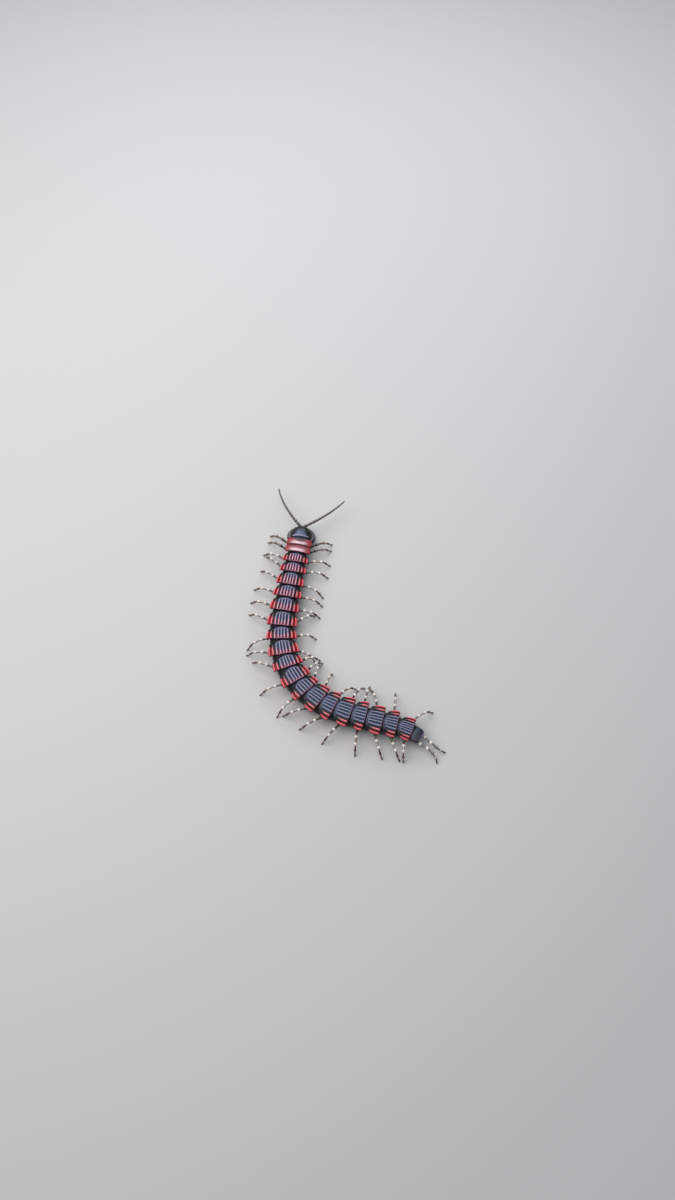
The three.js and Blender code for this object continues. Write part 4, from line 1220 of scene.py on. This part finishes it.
def ball(centre, radius, count=24):
    """Rings of a ball, to be lofted."""
    rings = []
    for k in range(1, count // 2):
        turn = math.pi * k / (count // 2)
        flat = radius * math.sin(turn)
        ring = [centre + Vector((flat * math.cos(a), flat * math.sin(a), radius * math.cos(turn)))
                for a in (2 * math.pi * j / count for j in range(count))]
        rings.append(ring)
    return rings


def between(points, place):
    """The height of a line through points, each (place, height)."""
    for (a, low), (b, high) in zip(points, points[1:]):
        if place <= b:
            return mix(low, high, (place - a) / (b - a))
    return points[-1][1]


def shield_height(u, y):
    along = (HEAD_FRONT - y) / (HEAD_FRONT - HEAD_REAR)
    side = abs(u) / (HEAD_HALF * between(HEAD_OUTLINE, along))
    rise = (HEAD_TOP_Z - HEAD_EDGE_Z) * between(HEAD_PROFILE, along)
    return HEAD_EDGE_Z + rise * (1 - side ** ARCH_POWER)


def simple_eye(side, mirror, k, along, out):
    turn = math.radians(EYE["turn"])
    u = EYE["u"] - along * EYE["along"] * math.sin(turn) + out * EYE["out"] * math.cos(turn)
    y = EYE["y"] + along * EYE["along"] * math.cos(turn) + out * EYE["out"] * math.sin(turn)
    centre = SEGMENT_PLACES[0] @ Vector((mirror * u, y, shield_height(u, y) - EYE["sunk"]))
    return loft(f"ocellus_{side}_{k}", ball(centre, EYE["radius"]), LENS)


def joined(name, pieces):
    """One piece from several."""
    with bpy.context.temp_override(active_object=pieces[0], selected_editable_objects=pieces):
        bpy.ops.object.join()
    pieces[0].name = name
    return pieces[0]


def eyes(side, mirror):
    lenses = [simple_eye(side, mirror, k, *place) for k, place in enumerate(OCELLI)]
    return finished(joined(f"ocelli_{side}", lenses), "eyes", f"eye_{side}")


FANG_TREE = limb_tree("poison_claw", CLAW_SKIN, 28, 4)
BASE_OUTLINE = ((0, 0.6), (0.2, 0.86), (0.5, 1.0), (0.85, 0.97), (1, 0.75))
BASE_TREE = plate_tree("claw_base", SMALL_GRID, BASE_OUTLINE, ((0, 0.8), (0.3, 1), (0.8, 1), (1, 0.7)),
                       HARD_BLACK)


def claw_base():
    made = shell_plate("poison_claw_base", BASE_TREE, FANG_BASE)
    return finished(put(made, SEGMENT_PLACES[0] @ TURNED_OVER), "poison_claws", "forcipule_base")


head_shield()
head_capsule()
claw_base()
ANTENNAE = [antenna(side, mirror) for side, mirror in SIDES]
for side, mirror in SIDES:
    eyes(side, mirror)
    horn(f"poison_claw_{side}", FANG_TREE, FANG, mirror, 0, "poison_claws", f"forcipule_{side}")

# The mouthparts under the head, and the teeth between the poison claws.

PALP = ((0.8, 2.6, 2.7, 0.42), (1.3, 3.5, 2.65, 0.4), (1.2, 4.2, 2.6, 0.36), (0.75, 4.75, 2.5, 0.3),
        (0.4, 4.95, 2.45, 0.16))
PALP_TREE = limb_tree("palp", FLANK_PLATE, 16, 3)
TEETH = {"count": 4, "first": 0.28, "step": 0.3, "y": 3.3, "back": 0.06, "z": 1.75, "radius": 0.19,
         "points": 12}
LIP = {"y": 5.0, "z": 3.15, "half": (1.25, 0.45, 0.4)}


def teeth():
    made = []
    for side, mirror in SIDES:
        for k in range(TEETH["count"]):
            u = mirror * (TEETH["first"] + k * TEETH["step"])
            centre = SEGMENT_PLACES[0] @ Vector((u, TEETH["y"] - k * TEETH["back"], TEETH["z"]))
            rings = ball(centre, TEETH["radius"], TEETH["points"])
            made.append(loft(f"tooth_{side}_{k}", rings, HARD_BLACK))
    return finished(joined("teeth", made), "poison_claws")


def lip():
    rings = [[Vector((p.x * LIP["half"][0], p.y * LIP["half"][1], p.z * LIP["half"][2])) for p in ring]
             for ring in ball(Vector(), 1.0)]
    place = SEGMENT_PLACES[0] @ Matrix.Translation((0, LIP["y"], LIP["z"]))
    rings = [[place @ p for p in ring] for ring in rings]
    return finished(loft("upper_lip", rings, FLANK_PLATE), "head")


lip()
teeth()
for side, mirror in SIDES:
    horn(f"palp_{side}", PALP_TREE, PALP, mirror, 0, "head")

# Bristles on the legs and the antennae.

BRISTLE = {"length": 0.2, "radius": 0.014, "seed": 3, "sides": 4}
ANTENNA_BRISTLES = 7.0  # on a square millimetre
LEG_BRISTLES = 1.8
PER_SQUARE_MM = 1 / MM ** 2


def bristle_tree():
    """Short bristles that stand on a surface, at random places from a fixed seed."""
    tree, given = new_tree("bristles", ("Density", "Length", "Radius", "Seed"))
    spread = add(tree, "GeometryNodeDistributePointsOnFaces",
                 {"Mesh": given["Geometry"], "Density": given["Density"], "Seed": given["Seed"]})
    cone = add(tree, "GeometryNodeMeshCone", {
        "Vertices": BRISTLE["sides"], "Side Segments": 1, "Fill Segments": 1, "Radius Top": 0.0,
        "Radius Bottom": given["Radius"], "Depth": given["Length"]})
    placed = add(tree, "GeometryNodeInstanceOnPoints", {
        "Points": spread.outputs["Points"], "Instance": cone.outputs["Mesh"],
        "Rotation": spread.outputs["Rotation"]})
    close_tree(tree, placed, BRISTLE_SKIN)
    return tree


BRISTLE_TREE = bristle_tree()


def bristles(name, slot, density, pieces):
    copies = [show(f"{name}_{k}", piece.data.copy()) for k, piece in enumerate(pieces)]
    made = grown(name, BRISTLE_TREE, {
        "Density": density * PER_SQUARE_MM,
        "Length": BRISTLE["length"] * MM,
        "Radius": BRISTLE["radius"] * MM,
        "Seed": BRISTLE["seed"],
    }, joined(f"{name}_base", copies))
    return finished(stood(made), slot)


bristles("antenna_bristles", "antennae", ANTENNA_BRISTLES, ANTENNAE)
bristles("leg_bristles", "legs", LEG_BRISTLES, LEGS)

# The floor, the light and the camera.


FLOOR_HALF = 400


def floor():
    """A matt painted board, pale and plain, which gives the eye nothing but the shadows."""
    corners = [(FLOOR_HALF * x, FLOOR_HALF * y, 0) for x, y in ((-1, -1), (1, -1), (1, 1), (-1, 1))]
    made = mesh_object("floor", corners, [(0, 1, 2, 3)])
    material, tree, _ = new_material("painted_board_matt")
    shader = add(tree, "ShaderNodeBsdfPrincipled",
                 {"Base Color": "d5d4d2", "Roughness": 0.7, "IOR": 1.5})
    add(tree, "ShaderNodeOutputMaterial", [shader])
    made.data.materials.append(material)


# The point that the camera and the lights aim at, and the lights: a place and a size in
# millimetres, a power in watts and a tint.
AIM = (-2.12, 8.56, 0.0)
LIGHTS = {
    "key": ((-170, 60, 360), (460, 460), 1.38, (1.0, 0.97, 0.93)),
    "rear": ((40, 320, 230), (360, 120), 0.4, (0.86, 0.9, 1.0)),
}
SKY = {"tint": (0.8, 0.86, 0.96, 1), "strength": 0.33}


def softbox(name, place, size, power, tint):
    """A soft area light, aimed at the middle of the model."""
    light = bpy.data.lights.new(name, "AREA")
    light.shape = "RECTANGLE"
    light.size, light.size_y = (side * MM for side in size)
    light.energy = power
    light.color = tint
    made = bpy.data.objects.new(name, light)
    made.location = Vector(place) * MM
    made.rotation_euler = (Vector(AIM) - Vector(place)).to_track_quat("-Z", "Y").to_euler()
    bpy.context.scene.collection.objects.link(made)


# The camera stands where the photo's stood: its height in degrees, its distance, the nearest
# thing it sees, in metres, and the focal length over the height of the picture.
CAMERA = {"elevation": 64, "distance": 390, "near": 0.01, "focal_share": 1100 / 1200}


def camera():
    data = bpy.data.cameras.new("camera")
    data.sensor_fit = "VERTICAL"
    data.angle = 2 * math.atan(0.5 / CAMERA["focal_share"])
    data.clip_start = CAMERA["near"]
    made = bpy.data.objects.new("camera", data)
    tilt = math.radians(CAMERA["elevation"])
    back = Vector((0, -math.cos(tilt), math.sin(tilt))) * CAMERA["distance"]
    made.location = (Vector(AIM) + back) * MM
    made.rotation_euler = (math.radians(90 - CAMERA["elevation"]), 0, 0)
    bpy.context.scene.collection.objects.link(made)
    bpy.context.scene.camera = made


def sky():
    world = bpy.data.worlds.new("soft_sky")
    world.use_nodes = True
    world.node_tree.nodes["Background"].inputs["Color"].default_value = SKY["tint"]
    world.node_tree.nodes["Background"].inputs["Strength"].default_value = SKY["strength"]
    bpy.context.scene.world = world


floor()
for name, light in LIGHTS.items():
    softbox(name, *light)
camera()
sky()
bpy.context.scene.view_settings.view_transform = "Standard"
